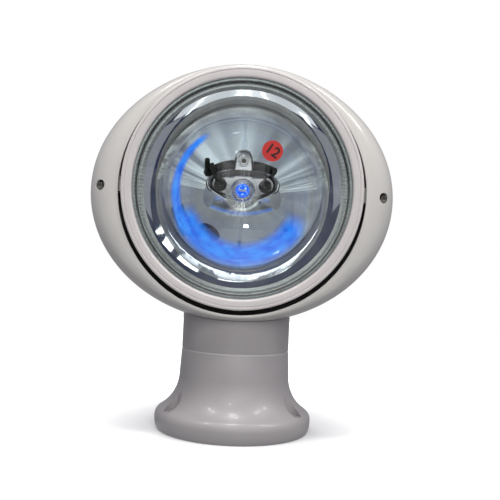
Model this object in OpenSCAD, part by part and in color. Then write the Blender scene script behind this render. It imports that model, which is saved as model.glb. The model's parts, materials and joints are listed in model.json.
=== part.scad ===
// Marine searchlight: a lamp tilts inside an egg-shaped head, and the head pans on a pedestal.
// The origin is the centre of the deck face. +Z is up, the lens faces -Y, the head pans about Z.

/* [Pedestal] */
// Radius of the foot at its widest edge
foot_r = 71.7; // [70:0.1:76]
// Height of the foot's widest edge
foot_edge_h = 11; // [9:0.5:12]
// How far the deck face is set in from the widest edge
foot_tuck = 3.2; // [2.5:0.1:3.4]
// Radius of the foot's rounded upper edge
foot_round = 9; // [7:0.5:10]
// Width of the rim that rests on the deck
foot_rim = 8; // [7:0.1:9]
// Height where the flare of the foot runs into the neck
flare_h = 50; // [46:0.5:54]
// Outer radius of the neck
neck_r = 49.5; // [48.5:0.1:52]
// Extra radius of the neck where it meets the flare
neck_taper = 1; // [0:0.1:2]
// Wall of the pedestal and of the turning neck
neck_wall = 4; // [3:0.1:4.4]
// Height of the seam where the neck turns
joint_h = 71.4; // [71:0.2:78]
// Thickness of the sliding ring in the seam
ring_t = 1.2; // [0.8:0.1:2]

/* [Deck mounting] */
// Number of deck bolts
bolt_count = 3; // [3:1:4]
// Pitch circle radius of the deck bolts
bolt_pcr = 61; // [60.5:0.1:61.4]
// Radius of the deck bolt holes
bolt_hole_r = 2.7; // [2.2:0.1:3]
// Radius of the recess above each bolt hole
bolt_recess_r = 7.5; // [6.5:0.1:8]
// Thickness of the foot under the bolt heads
bolt_floor = 18; // [16:0.5:20]
// Wall round each recess
bolt_wall = 2; // [1.5:0.1:2.5]
// Middle radius of the deck gasket
gasket_r = 65.9; // [65.6:0.1:66]
// Width of the deck gasket
gasket_w = 2.2; // [1.8:0.1:2.4]
// Thickness of the deck gasket
gasket_t = 2; // [1.5:0.1:3]
// Thickness of the bottom cover
cover_t = 3; // [2:0.1:4]
// Height of the bottom cover above the deck
cover_h = 3; // [2.5:0.1:4]
// Pitch circle radius of the cover screws
cover_screw_pcr = 42; // [40:0.5:43]
// Radius of the cable gland's thread
gland_r = 8; // [6:0.1:9]
// Radius of the cable gland's bore
gland_bore_r = 4; // [3:0.1:4.5]

/* [Pan drive] */
// Tooth module of both gear pairs
gear_m = 1; // [0.9:0.02:1.06]
// Face width of the gears
gear_w = 6; // [5:0.5:7]
// Teeth of the pan gear
pan_teeth = 40; // [38:1:42]
// Teeth of each motor pinion
pinion_teeth = 16; // [15:1:17]
// Backlash at the pitch circle
backlash = 0.2; // [0.1:0.02:0.3]
// Radius of the hollow pan spindle
spindle_r = 10; // [9:0.1:10.5]
// Radius of the wiring bore through the spindle
spindle_bore_r = 7; // [5:0.1:7.5]
// Wall of the spindle bush
bush_wall = 2; // [1.5:0.1:2.2]
// Depth of the web that carries the spindle bush, below the seam
web_drop = 21.4; // [20.4:0.2:23]
// Thickness of that web
web_t = 4; // [3:0.1:5]
// Radius of the pan motor
pan_motor_r = 12; // [10:0.1:12.5]
// Length of the pan motor
pan_motor_l = 32; // [26:0.5:40]
// Radius of the pan motor's shaft
pan_shaft_r = 2; // [1.5:0.1:2.5]
// Height of the turret floor above the seam
floor_rise = 3.4; // [3:0.1:5]
// Thickness of the turret floor
floor_t = 4; // [3:0.1:5]

/* [Head shell] */
// Distance of the tilt axis in front of the pan axis
pivot_ahead = 43.5; // [42:0.1:45]
// Height of the tilt axis above the deck
pivot_h = 215; // [213:0.5:218]
// Height of the tilt axis above the middle of the head
axis_rise = 2; // [1:0.1:2.4]
// Angle that the lamp looks down at rest
aim_down = 7; // [6:0.5:8]
// How far the head swells past the edge of the opening on each side
swell_w = 28.8; // [26:0.2:32]
// How far the head swells past the edge of the opening above and below
swell_h = 6.8; // [6.4:0.1:10]
// Distance of the widest section behind the tilt axis
girth_back = 22; // [20:0.5:24]
// Depth of the rear bowl behind the widest section
rear_depth = 93; // [90:0.5:100]
// Gap between the bezel and the round opening
opening_gap = 4.4; // [4.2:0.1:5]
// Distance of the opening in front of the tilt axis
opening_ahead = 14; // [13.8:0.1:16]
// Width of the edge round the opening
opening_land = 1.2; // [0.8:0.1:2]
// Wall of the head shell
shell_wall = 3.5; // [2.5:0.1:3.6]
// Distance of the two shell screws from the sides of the head
shell_screw_in = 13.5; // [12.5:0.1:14]
// Radius of the recess for each shell screw
shell_recess_r = 4.6; // [4.3:0.1:5]
// Distance of the recess floor in front of the tilt axis
shell_recess_ahead = 4; // [2:0.5:5]
// Radius of the hole above the neck
shell_hole_r = 40; // [39.5:0.1:42]

/* [Yoke and trunnions] */
// Gap between the bezel and the yoke band
yoke_gap = 4.5; // [4.3:0.1:5]
// Thickness of the yoke band
yoke_t = 3; // [2.5:0.1:3.2]
// Width of the yoke band
yoke_w = 22; // [18:0.5:24]
// Distance of the yoke band behind the tilt axis
yoke_back = 7; // [6.5:0.5:8]
// Half width of the post under the yoke
yoke_post_x = 17; // [12:0.5:17]
// Radius of the trunnion pins
pin_r = 4; // [3:0.1:4.5]
// Wall of the trunnion bushes
pin_bush_wall = 1.5; // [1:0.1:1.5]
// Height of the trunnion blocks
block_h = 13; // [12.6:0.1:15]
// Gap between the trunnion blocks and the screw bosses of the shell
block_gap = 0.6; // [0.4:0.1:2]

/* [Lamp] */
// Outer radius of the bezel ring
bezel_r = 102; // [101.5:0.1:102.3]
// Distance of the bezel's front face from the tilt axis
bezel_ahead = 28; // [27:0.2:28.5]
// Width of the bezel's front face
bezel_band = 9.2; // [8.5:0.1:10]
// Thickness of the bezel's front lip
bezel_lip = 4; // [3:0.1:5]
// Wall of the bezel's skirt
bezel_wall = 2.6; // [2:0.1:3]
// Depth of the bezel from front to back
bezel_depth = 17; // [16:0.2:18]
// Thickness of the lens
lens_t = 4; // [3:0.1:5]
// How far the lens bulges forward in the middle
lens_bulge = 1.5; // [0.5:0.1:2]
// Thickness of the lens gasket
lens_gasket_t = 2; // [1:0.1:2.5]
// Radius of the mirror at its rim
mirror_r = 84; // [82:0.2:85]
// Focal length of the reflector as a share of its rim's radius
focal_share = 0.4167; // [0.41:0.0001:0.43]
// Wall of the reflector
mirror_wall = 1.5; // [1:0.1:2]
// Radius of the hole for the bulb
mirror_hole_r = 16; // [15.5:0.1:17]
// Air space between reflector and housing
housing_gap = 1; // [0.6:0.1:1.5]
// Wall of the lamp housing, measured along the beam
housing_wall = 3; // [2.5:0.1:4]
// Radius of the housing's neck round the bulb socket
housing_neck_r = 24; // [22.5:0.1:25]
// Distance of the housing's back behind the tilt axis
housing_back = 60; // [58:0.5:61]
// Radius of the bulb's glass
bulb_r = 9.5; // [8.5:0.1:9.8]
// Distance of the bulb's tip in front of the focus
bulb_past = 10; // [8:0.5:12]
// Length of the bulb's metal base in front of the reflector's vertex
bulb_base_l = 14; // [13:0.5:16]
// Radius of the three ears on the bulb's plate
ear_r = 6.5; // [5:0.1:7]
// Distance of the side ears from the bulb's axis
ear_side = 21; // [19:0.5:23]
// Distance of the upper ear from the bulb's axis
ear_top = 27; // [24:0.5:28]

/* [Tilt drive] */
// Teeth of the full circle that the tilt sector is cut from
sector_teeth = 160; // [158:1:162]
// Teeth on each side of the sector's middle
sector_half = 10; // [9:1:11]
// Thickness of the tilt sector
sector_t = 5; // [4:0.1:5.5]
// Direction of the tilt pinion below the horizontal
tilt_drive_angle = 30; // [28:1:33]
// Radius of the tilt motor
tilt_motor_r = 8; // [6:0.1:8.5]
// Length of the tilt motor
tilt_motor_l = 32; // [26:0.5:36]
// Radius of the tilt motor's shaft
tilt_shaft_r = 1.5; // [1.2:0.1:2]
// Thickness of the tilt motor's bracket
bracket_t = 3; // [2:0.1:3.5]

/* [Fits] */
// Radial clearance of shafts in their holes
fit = 0.04; // [0.02:0.01:0.08]
// Clearance round seated pieces
seat = 0.2; // [0.1:0.05:0.3]

/* [Hidden] */
$fn = 64;
eps = 0.01;
white = [0.80, 0.79, 0.76];
black = [0.05, 0.05, 0.055];
grey = [0.62, 0.62, 0.60];
steel = [0.70, 0.71, 0.73];
bronze = [0.66, 0.48, 0.25];
nylon = [0.86, 0.84, 0.76];

// Small screws: radius of thread, head radius and head height
screw_r = 1.5;
screw_head_r = 2.8;
screw_head_h = 2;
big_screw_r = 2;
big_head_r = 3.8;
big_head_h = 2.2;

// Pedestal: the foot's rounded edge runs into a hollow flare, and the flare into the neck
flare_steps = 12;
round_steps = 6;
flare_top_r = neck_r + neck_taper;
round_r = foot_r - foot_round;
flare_rise = flare_h - foot_edge_h;
flare_run = round_r - flare_top_r;
flare_round = (flare_run * flare_run + flare_rise * flare_rise - foot_round * foot_round)
    / (2 * (flare_run + foot_round));
flare_angle = atan2(flare_rise, flare_round - flare_run);
foot_face_r = foot_r - foot_tuck;
cavity_r = foot_face_r - foot_rim;
boss_r = bolt_recess_r + bolt_wall;
bolt_start = 90;
post_r = 4;
post_z = cover_h + cover_t;
post_start = -90;
cover_screw_in = 8;
pilot_over = 2;
bush_r = spindle_r + bush_wall;
bush_flange_r = bush_r + 3;
bush_flange_t = 2;
bush_drop = 4;
web_h = joint_h - web_drop;
web_top = web_h + web_t;
chamber_r = neck_r - neck_wall;

// Pan gear train
pan_pitch_r = gear_m * pan_teeth / 2;
pinion_pitch_r = gear_m * pinion_teeth / 2;
pan_centre = pan_pitch_r + pinion_pitch_r;
gear_lift = 2;
gear_z = web_top + bush_flange_t + gear_lift;
gear_hub_r = spindle_r + 4;
gear_hub_h = 7;
gear_pin_r = 1.5;
gear_pin_z = gear_z + gear_w + gear_hub_h / 2;
motor_screw_x = 8;
motor_screw_in = 4;
motor_edge = 2;
shaft_in = 10;
washer_t = 1.6;
nut_h = 6;
nut_r = spindle_r + 4;
washer_top = web_h - bush_drop - seat;
nut_top = washer_top - washer_t;
spindle_end = nut_top - nut_h - 1;
gland_hex = 4;
gland_head_h = 2.2;
gland_l = 10;
gland_nut_h = 5;

// Turret
turret_z = joint_h + ring_t;
turret_r = neck_r - 0.1;
turret_floor_z = turret_z + floor_rise;
turret_floor_top = turret_floor_z + floor_t;
spindle_flange_w = 7;
spindle_flange_r = spindle_r + spindle_flange_w;
spindle_flange_t = 3;
spindle_screw_pcr = spindle_r + 3.8;
foot_screw_x = 11;
post_front = -35;
post_back = -spindle_flange_r - 1.5;
post_mid = (post_front + post_back) / 2;
yoke_flange_x = 26;
yoke_flange_t = 4;
yoke_screw_x = yoke_flange_x - 5;
yoke_overrun = 5;
yoke_r = bezel_r + yoke_gap;

// Head shell grid
head_sides = 64;
front_steps = 7;
rear_steps = 11;
apex_angle = 88;
opening_r = bezel_r + opening_gap;
lip_r = opening_r + opening_land;
head_w = 2 * (lip_r + swell_w);
head_h = 2 * (lip_r + swell_h);
shell_screw_x = head_w / 2 - shell_screw_in;
neck_reach = 60;
sweep_r = sqrt(opening_r * opening_r + opening_ahead * opening_ahead);
front_depth = girth_back + opening_ahead;
shell_recess_y = -shell_recess_ahead;
recess_reach = 40;
boss_skin = 1;
shell_boss_r = 6;
rear_boss_l = 18;
rib_t = 4;
rib_end = head_w / 2 - shell_wall + 0.6;
shell_screw_bite = 10;
shell_screw_l = girth_back - shell_recess_y + shell_screw_bite;

// Lamp, with depths measured backward from the tilt axis
lens_y = -bezel_ahead + bezel_lip;
gasket_y = lens_y + lens_t;
mirror_y = gasket_y + lens_gasket_t;
flange_y = mirror_y + mirror_wall;
focal = mirror_r * focal_share;
vertex_y = mirror_y + mirror_r * mirror_r / (4 * focal);
skirt_r = bezel_r - bezel_wall;
rim_r = skirt_r - seat;
window_r = bezel_r - bezel_band;
stack_r = rim_r - seat;
housing_rim_t = 5;
housing_void = mirror_wall + housing_gap;
housing_skin = housing_void + housing_wall;
bezel_screw_y = flange_y + housing_rim_t / 2;
bezel_screw_in = 6;
bezel_head_h = 1.2;
bezel_round = 1.5;
groove_r = bezel_r - 3.1;
groove_w = 0.6;
housing_steps = 12;
mirror_steps = 20;
lens_steps = 6;
sticker_r = 8.75;
sticker_t = 0.25;
sticker_gap = 0.05;
sticker_out = 41;
sticker_angle = 55;
trunnion_r = 8;
trunnion_x = bezel_r + 0.8;
trunnion_in = 24;
trunnion_root = mirror_r - trunnion_in;
block_x = trunnion_x + 0.5;
block_front = -yoke_back;
block_l = shell_screw_x - shell_boss_r - block_gap - block_x;
pin_l = 20;
pin_in = trunnion_x - pin_l;
pin_out = block_x + block_l - 0.6;
pin_bush_r = pin_r + pin_bush_wall;
bulb_reach = focal + bulb_past;
bulb_tip_y = vertex_y - bulb_reach;
bulb_base_y = vertex_y - bulb_base_l;
bulb_base_r = bulb_r + 2.5;
bulb_wall = 1;
ear_lift = 12;
ear_t = 1.2;
plate_y = bulb_base_y + 1;
ear_spots = [[ear_side, ear_lift / 2], [0, ear_top], [-ear_side, ear_lift / 2]];
bead_r = 2.2;
bead_h = 0.8;
filament_r = 1;
filament_l = 6;
support_r = 0.5;
support_x = 2.5;
collar_r = mirror_hole_r + 2;
bulb_flange_r = mirror_hole_r + 1.5;
bulb_flange_y = vertex_y + housing_void;
bulb_flange_t = 1.2;
clip_wire_r = 0.8;
clip_r = bulb_flange_r - 2;
lead_r = 1.6;
socket_r = clip_r - 2;
socket_y = bulb_flange_y + bulb_flange_t;
hook_w = 8;
hook_out = 1.8;

// Tilt gear train
sector_pitch_r = gear_m * sector_teeth / 2;
tilt_centre = sector_pitch_r + pinion_pitch_r;
sector_depth = 14;
sector_inner_r = sector_pitch_r - sector_depth;
sector_extra = 3;
sector_foot_x = 12;
sector_foot_t = 3;
sector_foot_low = -22;
sector_foot_high = -4;
sector_screw_x = 8;
tilt_pinion_w = gear_w;
bracket_x = tilt_pinion_w / 2 + 1;
bracket_low = spindle_flange_r + 1;
bracket_high = 36;
bracket_foot_x = 24;
bracket_mid = (bracket_low + bracket_high) / 2;
bracket_margin = 2;
bracket_waist = 20;
bracket_step = 8;
bracket_screw_y = 5;
tilt_y = tilt_centre * cos(tilt_drive_angle);
tilt_z = -tilt_centre * sin(tilt_drive_angle);

// Frames of reference
module at_pivot() translate([0, -pivot_ahead, pivot_h]) children();
module at_head() translate([0, -pivot_ahead, pivot_h - axis_rise]) children();
module at_lamp() at_pivot() rotate([aim_down, 0, 0]) children();
module level_axis() at_pivot() rotate([-90, 0, 0]) children();
module beam_axis() at_lamp() rotate([-90, 0, 0]) children();
module tilt_plane() at_pivot() rotate([90, 0, 90]) children();
module lamp_plane() at_lamp() rotate([90, 0, 90]) children();
module ring_of(count, radius, start)
    for (i = [0 : count - 1]) rotate(start + i * 360 / count) translate([radius, 0, 0]) children();
module both_sides(x) for (s = [-1, 1]) translate([s * x, 0, 0]) children();

// A screw whose head sits on z = 0, with its shank below
module screw(r, head_r, head_h, length) rotate_extrude()
    polygon([[0, -length], [r, -length], [r, 0], [head_r, 0], [head_r, head_h * 0.4],
             [head_r * 0.6, head_h], [0, head_h]]);

module tube(r_out, r_in, h) difference() {
    cylinder(r = r_out, h = h);
    translate([0, 0, -eps]) cylinder(r = r_in, h = h + 2 * eps);
}

// Involute teeth, from tooth index first to last
function involute(a) = (tan(a) * 180 / PI) - a;
function flank_angle(r, base_r) = involute(acos(min(1, base_r / max(r, base_r))));
function tooth_half(r, teeth) = let (pitch = gear_m * teeth / 2, base_r = pitch * cos(20))
    90 / teeth - backlash / (2 * pitch) * 90 / PI + involute(20) - flank_angle(r, base_r);
function tooth(teeth, i) = let (
        pitch = gear_m * teeth / 2,
        radii = [for (k = [-1.2, -0.5, 0, 0.5, 0.9]) pitch + k * gear_m],
        rise = [for (r = radii) [r, i * 360 / teeth - tooth_half(r, teeth)]],
        fall = [for (k = [len(radii) - 1 : -1 : 0])
            [radii[k], i * 360 / teeth + tooth_half(radii[k], teeth)]])
    [for (p = concat(rise, fall)) [p[0] * cos(p[1]), p[0] * sin(p[1])]];
function teeth_outline(teeth, first, last) = [for (i = [first : last]) each tooth(teeth, i)];
module spur_gear(teeth, width) linear_extrude(width) polygon(teeth_outline(teeth, 0, teeth - 1));

// Pedestal outline
function flare_r(z) = z >= flare_h
    ? neck_r + neck_taper * (joint_h - z) / (joint_h - flare_h)
    : flare_top_r + flare_round - sqrt(pow(flare_round, 2) - pow(flare_h - z, 2));
foot_curve = [for (a = [0 : 18 : 90])
    [foot_face_r + foot_tuck * sin(a), foot_edge_h * (1 - cos(a))]];
foot_edge = [for (i = [1 : round_steps]) let (a = flare_angle * i / round_steps)
    [round_r + foot_round * cos(a), foot_edge_h + foot_round * sin(a)]];
flare_curve = [for (i = [flare_steps - 1 : -1 : 0]) let (a = flare_angle * i / flare_steps)
    [flare_top_r + flare_round * (1 - cos(a)), flare_h - flare_round * sin(a)]];
module pedestal_outline() polygon(concat(
    [[0, 0]], foot_curve, foot_edge, flare_curve, [[neck_r, joint_h], [0, joint_h]]));
module pedestal_cavity() polygon(concat(
    [[0, -eps], [cavity_r, -eps], [cavity_r, foot_edge_h]],
    [for (p = flare_curve) if (p[1] < web_h - eps) [min(cavity_r, p[0] - neck_wall), p[1]]],
    [[min(chamber_r, flare_r(web_h) - neck_wall), web_h], [0, web_h]]));

module pedestal_base() color(white) difference() {
    union() {
        difference() {
            rotate_extrude() pedestal_outline();
            rotate_extrude() pedestal_cavity();
            translate([0, 0, web_top]) cylinder(r = chamber_r, h = joint_h);
        }
        intersection() {
            rotate_extrude() pedestal_outline();
            union() {
                ring_of(bolt_count, bolt_pcr, bolt_start) cylinder(r = boss_r, h = flare_h);
                ring_of(3, cover_screw_pcr, post_start)
                    translate([0, 0, post_z]) cylinder(r = post_r, h = web_top - post_z);
                translate([0, 0, web_h - bush_drop]) cylinder(r = bush_flange_r, h = bush_drop + eps);
            }
        }
    }
    ring_of(bolt_count, bolt_pcr, bolt_start) {
        translate([0, 0, -eps]) cylinder(r = bolt_hole_r, h = bolt_floor + 1);
        translate([0, 0, bolt_floor]) cylinder(r = bolt_recess_r, h = flare_h);
    }
    ring_of(3, cover_screw_pcr, post_start)
        translate([0, 0, post_z - eps]) cylinder(r = screw_r + fit, h = cover_screw_in + pilot_over);
    translate([0, 0, -eps]) tube(gasket_r + gasket_w / 2, gasket_r - gasket_w / 2, gasket_t + eps);
    translate([0, 0, web_h - bush_drop - eps]) cylinder(r = bush_r, h = web_t + bush_drop + 1);
    translate([pan_centre, 0, web_h - eps]) {
        cylinder(r = pan_shaft_r + 1, h = web_t + 1);
        for (s = [-1, 1]) translate([0, s * motor_screw_x, 0])
            cylinder(r = screw_r + fit, h = web_t + 1);
    }
}

module deck_gasket() color(black)
    tube(gasket_r + gasket_w / 2 - seat, gasket_r - gasket_w / 2 + seat, gasket_t);

module bottom_cover() color(grey) translate([0, 0, cover_h]) difference() {
    cylinder(r = cavity_r - seat, h = cover_t);
    translate([0, 0, -eps]) {
        ring_of(bolt_count, bolt_pcr, bolt_start) cylinder(r = boss_r + seat, h = cover_t + 1);
        ring_of(3, cover_screw_pcr, post_start) cylinder(r = screw_r + fit, h = cover_t + 1);
        cylinder(r = gland_r, h = cover_t + 1);
    }
}

module bottom_cover_screws() color(steel) ring_of(3, cover_screw_pcr, post_start)
    translate([0, 0, cover_h]) mirror([0, 0, 1]) 
        screw(screw_r, screw_head_r, screw_head_h, cover_t + cover_screw_in);

module cable_gland() color(black) difference() {
    union() {
        translate([0, 0, cover_h - gland_head_h])
            cylinder(r = gland_r + gland_hex, h = gland_head_h, $fn = 6);
        translate([0, 0, cover_h - eps]) cylinder(r = gland_r - fit, h = cover_t + gland_l);
    }
    translate([0, 0, -eps]) cylinder(r = gland_bore_r, h = cover_h + cover_t + gland_l + 1);
}

module gland_nut() color(black) translate([0, 0, post_z]) difference() {
    cylinder(r = gland_r + gland_hex, h = gland_nut_h, $fn = 6);
    translate([0, 0, -eps]) cylinder(r = gland_r, h = gland_nut_h + 1);
}

module pan_motor() color(steel) translate([pan_centre, 0, web_h]) difference() {
    union() {
        translate([0, 0, -pan_motor_l]) rotate_extrude() polygon([
            [0, 0], [pan_motor_r - motor_edge, 0], [pan_motor_r, motor_edge], [pan_motor_r, pan_motor_l],
            [0, pan_motor_l]]);
        cylinder(r = pan_shaft_r + 1 - fit, h = web_t - 1);
    }
    translate([0, 0, -shaft_in - pilot_over])
        cylinder(r = pan_shaft_r + fit, h = shaft_in + pilot_over + web_t);
    for (s = [-1, 1]) translate([0, s * motor_screw_x, -motor_screw_in - 1])
        cylinder(r = screw_r + fit, h = motor_screw_in + 2);
}

module pan_motor_screws() color(steel) translate([pan_centre, 0, web_top])
    for (s = [-1, 1]) translate([0, s * motor_screw_x, 0])
        screw(screw_r, screw_head_r, screw_head_h - 0.4, web_t + motor_screw_in);

module spindle_bush() color(bronze) translate([0, 0, web_h - bush_drop]) difference() {
    union() {
        cylinder(r = bush_r - fit, h = bush_drop + web_t + eps);
        translate([0, 0, bush_drop + web_t]) cylinder(r = bush_flange_r, h = bush_flange_t);
    }
    translate([0, 0, -eps]) cylinder(r = spindle_r + fit, h = bush_drop + web_t + bush_flange_t + 1);
}

module slide_ring() color(nylon) translate([0, 0, joint_h]) tube(neck_r - 0.6, chamber_r + 0.4, ring_t);

module pan_motor_shaft() color(steel) translate([pan_centre, 0, web_h - shaft_in])
    cylinder(r = pan_shaft_r, h = gear_z + gear_w - web_h + shaft_in);

module pan_pinion() color(nylon) translate([pan_centre, 0, gear_z]) difference() {
    rotate(180 + 180 / pinion_teeth) spur_gear(pinion_teeth, gear_w);
    translate([0, 0, -eps]) cylinder(r = pan_shaft_r + fit / 2, h = gear_w + 1);
}

// Shape of the head: a round opening that swells to an oval girth, and an oval bowl behind it
function girth_r(a) = 1 / sqrt(pow(cos(a) / (head_w / 2), 2) + pow(sin(a) / (head_h / 2), 2));
function front_y(t) = girth_back - front_depth * cos(t);
function rear_y(u, depth) = girth_back + depth * sin(u);
function front_r(a, t) = lip_r + (girth_r(a) - lip_r) * sin(t);
function front_inner_r(a, t) = max(front_r(a, t) - shell_wall, sqrt(pow(sweep_r, 2) - pow(front_y(t), 2)));
function ring_at(y, radii) = [for (i = [0 : head_sides - 1])
    let (a = i * 360 / head_sides) [radii[i] * cos(a), y, radii[i] * sin(a)]];
side_angles = [for (i = [0 : head_sides - 1]) i * 360 / head_sides];
front_turns = [for (i = [0 : front_steps]) 90 * i / front_steps];
rear_turns = [for (i = [0 : rear_steps]) apex_angle * i / rear_steps];
function front_outer(grow) = [for (t = front_turns)
    ring_at(front_y(t), [for (a = side_angles) front_r(a, t) + grow])];
function front_inner() = [for (t = front_turns)
    ring_at(front_y(t), [for (a = side_angles) front_inner_r(a, t)])];
function rear_bowl(grow) = [for (u = rear_turns)
    ring_at(rear_y(u, rear_depth + grow), [for (a = side_angles) (girth_r(a) + grow) * cos(u)])];
function reversed(list) = [for (i = [len(list) - 1 : -1 : 0]) list[i]];

// A surface through rings of points: a closed loop of rings, or a run with a cap at each end
module skin(rings, loop) {
    sides = len(rings[0]);
    spans = loop ? len(rings) : len(rings) - 1;
    faces = [for (k = [0 : spans - 1], i = [0 : sides - 1])
        let (j = (i + 1) % sides, n = (k + 1) % len(rings))
        each [[k * sides + i, k * sides + j, n * sides + j], [k * sides + i, n * sides + j, n * sides + i]]];
    last = (len(rings) - 1) * sides;
    caps = loop ? [] : [[for (i = [sides - 1 : -1 : 0]) i], [for (i = [0 : sides - 1]) last + i]];
    polyhedron([for (r = rings) each r], concat(faces, caps));
}

module head_solid(grow) at_head() {
    run = concat(front_outer(grow), [for (k = [1 : rear_steps]) rear_bowl(grow)[k]]);
    skin(run, false);
}

module neck_hole() cylinder(r = shell_hole_r, h = pivot_h - neck_reach);

module shell_screw_axis(y) at_head() both_sides(shell_screw_x) translate([0, y, 0]) rotate([-90, 0, 0])
    children();

module front_shell() color(white) difference() {
    union() {
        at_head() skin(concat(front_outer(0), reversed(front_inner())), true);
        intersection() {
            shell_screw_axis(-opening_ahead) cylinder(r = shell_boss_r, h = front_depth);
            head_solid(-boss_skin);
        }
    }
    neck_hole();
    shell_screw_axis(shell_recess_y - recess_reach) cylinder(r = shell_recess_r, h = recess_reach);
    shell_screw_axis(shell_recess_y - eps) cylinder(r = big_screw_r + fit, h = shell_screw_l);
}

module rear_shell() color(white) difference() {
    union() {
        at_head() skin(concat(reversed(rear_bowl(-shell_wall)), rear_bowl(0)), false);
        shell_screw_axis(girth_back) cylinder(r = shell_boss_r, h = rear_boss_l);
        for (s = [-1, 1]) at_head() translate([s > 0 ? shell_screw_x : -rib_end, girth_back, -rib_t / 2])
            cube([rib_end - shell_screw_x, rear_boss_l, rib_t]);
    }
    neck_hole();
    shell_screw_axis(girth_back - eps) cylinder(r = big_screw_r + fit, h = rear_boss_l - 3);
}

module shell_screws() color(steel) shell_screw_axis(shell_recess_y) mirror([0, 0, 1])
    screw(big_screw_r, big_head_r, big_head_h, shell_screw_l);

module turret_neck() color(white) difference() {
    translate([0, 0, turret_z]) cylinder(r = turret_r, h = pivot_h - turret_z - neck_reach);
    translate([0, 0, turret_z - eps]) cylinder(r = chamber_r, h = floor_rise + eps);
    translate([0, 0, turret_floor_top]) cylinder(r = chamber_r, h = pivot_h);
    head_solid(seat);
    translate([0, 0, turret_floor_z - eps]) {
        cylinder(r = spindle_r + fit, h = floor_t + 1);
        ring_of(3, spindle_screw_pcr, 90) cylinder(r = screw_r + fit, h = floor_t + 1);
        both_sides(yoke_screw_x) translate([0, post_mid, 0]) cylinder(r = big_screw_r + fit, h = floor_t + 1);
        translate([bracket_x + foot_screw_x, bracket_mid, 0])
            for (s = [-1, 1]) translate([0, s * bracket_screw_y, 0])
                cylinder(r = screw_r + fit, h = floor_t + 1);
    }
}

module pan_spindle() color(steel) difference() {
    union() {
        translate([0, 0, spindle_end]) cylinder(r = spindle_r, h = turret_floor_top - spindle_end + eps);
        translate([0, 0, turret_floor_top]) cylinder(r = spindle_flange_r, h = spindle_flange_t);
    }
    translate([0, 0, spindle_end - eps]) cylinder(r = spindle_bore_r, h = pivot_h);
    translate([0, 0, turret_floor_top - eps])
        ring_of(3, spindle_screw_pcr, 90) cylinder(r = screw_r + fit, h = spindle_flange_t + 1);
    translate([0, 0, gear_pin_z]) rotate([0, 90, 0])
        cylinder(r = gear_pin_r + fit, h = 3 * spindle_r, center = true);
}

module spindle_screws() color(steel) translate([0, 0, turret_floor_top + spindle_flange_t])
    ring_of(3, spindle_screw_pcr, 90) screw(screw_r, screw_head_r, screw_head_h, spindle_flange_t + floor_t);

module pan_gear() color(nylon) difference() {
    union() {
        translate([0, 0, gear_z]) spur_gear(pan_teeth, gear_w);
        translate([0, 0, gear_z + gear_w - eps]) cylinder(r = gear_hub_r, h = gear_hub_h);
    }
    translate([0, 0, gear_z - eps]) cylinder(r = spindle_r + fit / 2, h = gear_w + gear_hub_h + 1);
    translate([0, 0, gear_pin_z]) rotate([0, 90, 0])
        cylinder(r = gear_pin_r + fit, h = 3 * gear_hub_r, center = true);
}

module gear_pin() color(steel) translate([0, 0, gear_pin_z]) rotate([0, 90, 0])
    cylinder(r = gear_pin_r, h = 2 * gear_hub_r, center = true);

module spring_washer() color(steel) translate([0, 0, nut_top]) tube(bush_r, spindle_r + fit, washer_t);

module spindle_nut() color(steel) translate([0, 0, nut_top - nut_h]) difference() {
    cylinder(r = nut_r, h = nut_h, $fn = 6);
    translate([0, 0, -eps]) cylinder(r = spindle_r + fit / 2, h = nut_h + 1);
}

module yoke_band() level_axis() translate([0, 0, yoke_back]) rotate(-yoke_overrun)
    rotate_extrude(angle = 180 + 2 * yoke_overrun)
        translate([yoke_r, 0]) square([yoke_t, yoke_w]);

module yoke() color(black) difference() {
    union() {
        yoke_band();
        difference() {
            translate([-yoke_post_x, post_front, turret_floor_top])
                cube([2 * yoke_post_x, post_back - post_front, pivot_h - yoke_r / 2 - turret_floor_top]);
            level_axis() translate([0, 0, -pivot_ahead])
                cylinder(r = yoke_r + yoke_t / 2, h = 2 * pivot_ahead);
        }
        translate([-yoke_flange_x, post_front, turret_floor_top])
            cube([2 * yoke_flange_x, post_back - post_front, yoke_flange_t]);
    }
    both_sides(yoke_screw_x) translate([0, post_mid, turret_floor_top - eps])
        cylinder(r = big_screw_r + fit, h = yoke_flange_t + 1);
}

module yoke_screws() color(steel) both_sides(yoke_screw_x)
    translate([0, post_mid, turret_floor_top + yoke_flange_t])
        screw(big_screw_r, big_head_r, big_head_h, yoke_flange_t + floor_t);

module trunnion_axis(side, x) at_pivot() translate([side * x, 0, 0]) rotate([0, side * 90, 0]) children();

module trunnion_block(side) color(grey) difference() {
    at_pivot() translate([side > 0 ? block_x : -block_x - block_l, block_front, -block_h / 2])
        cube([block_l, yoke_back - block_front, block_h]);
    trunnion_axis(side, block_x - 1) cylinder(r = pin_bush_r + fit, h = block_l + 2);
}

module trunnion_bush(side) color(bronze) trunnion_axis(side, block_x)
    tube(pin_bush_r, pin_r + fit, block_l);

module trunnion_pin(side) color(steel) trunnion_axis(side, pin_in) cylinder(r = pin_r, h = pin_out - pin_in);

// Depth of the mirror surface at radius r
function mirror_depth(r) = vertex_y - r * r / (4 * focal);
function bowl(from_r, to_r, steps, back) = [for (i = [0 : steps])
    let (r = from_r + (to_r - from_r) * i / steps) [r, mirror_depth(r) + back]];

module reflector() color(steel) beam_axis() rotate_extrude() polygon(concat(
    bowl(mirror_hole_r, mirror_r, mirror_steps, 0), [[stack_r, mirror_y], [stack_r, flange_y]],
    reversed(bowl(collar_r, mirror_r, mirror_steps, mirror_wall)),
    [[collar_r, bulb_flange_y], [mirror_hole_r, bulb_flange_y]]));

module lens_gasket() color(black) beam_axis() translate([0, 0, gasket_y])
    tube(stack_r, window_r + 0.4, lens_gasket_t);

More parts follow.
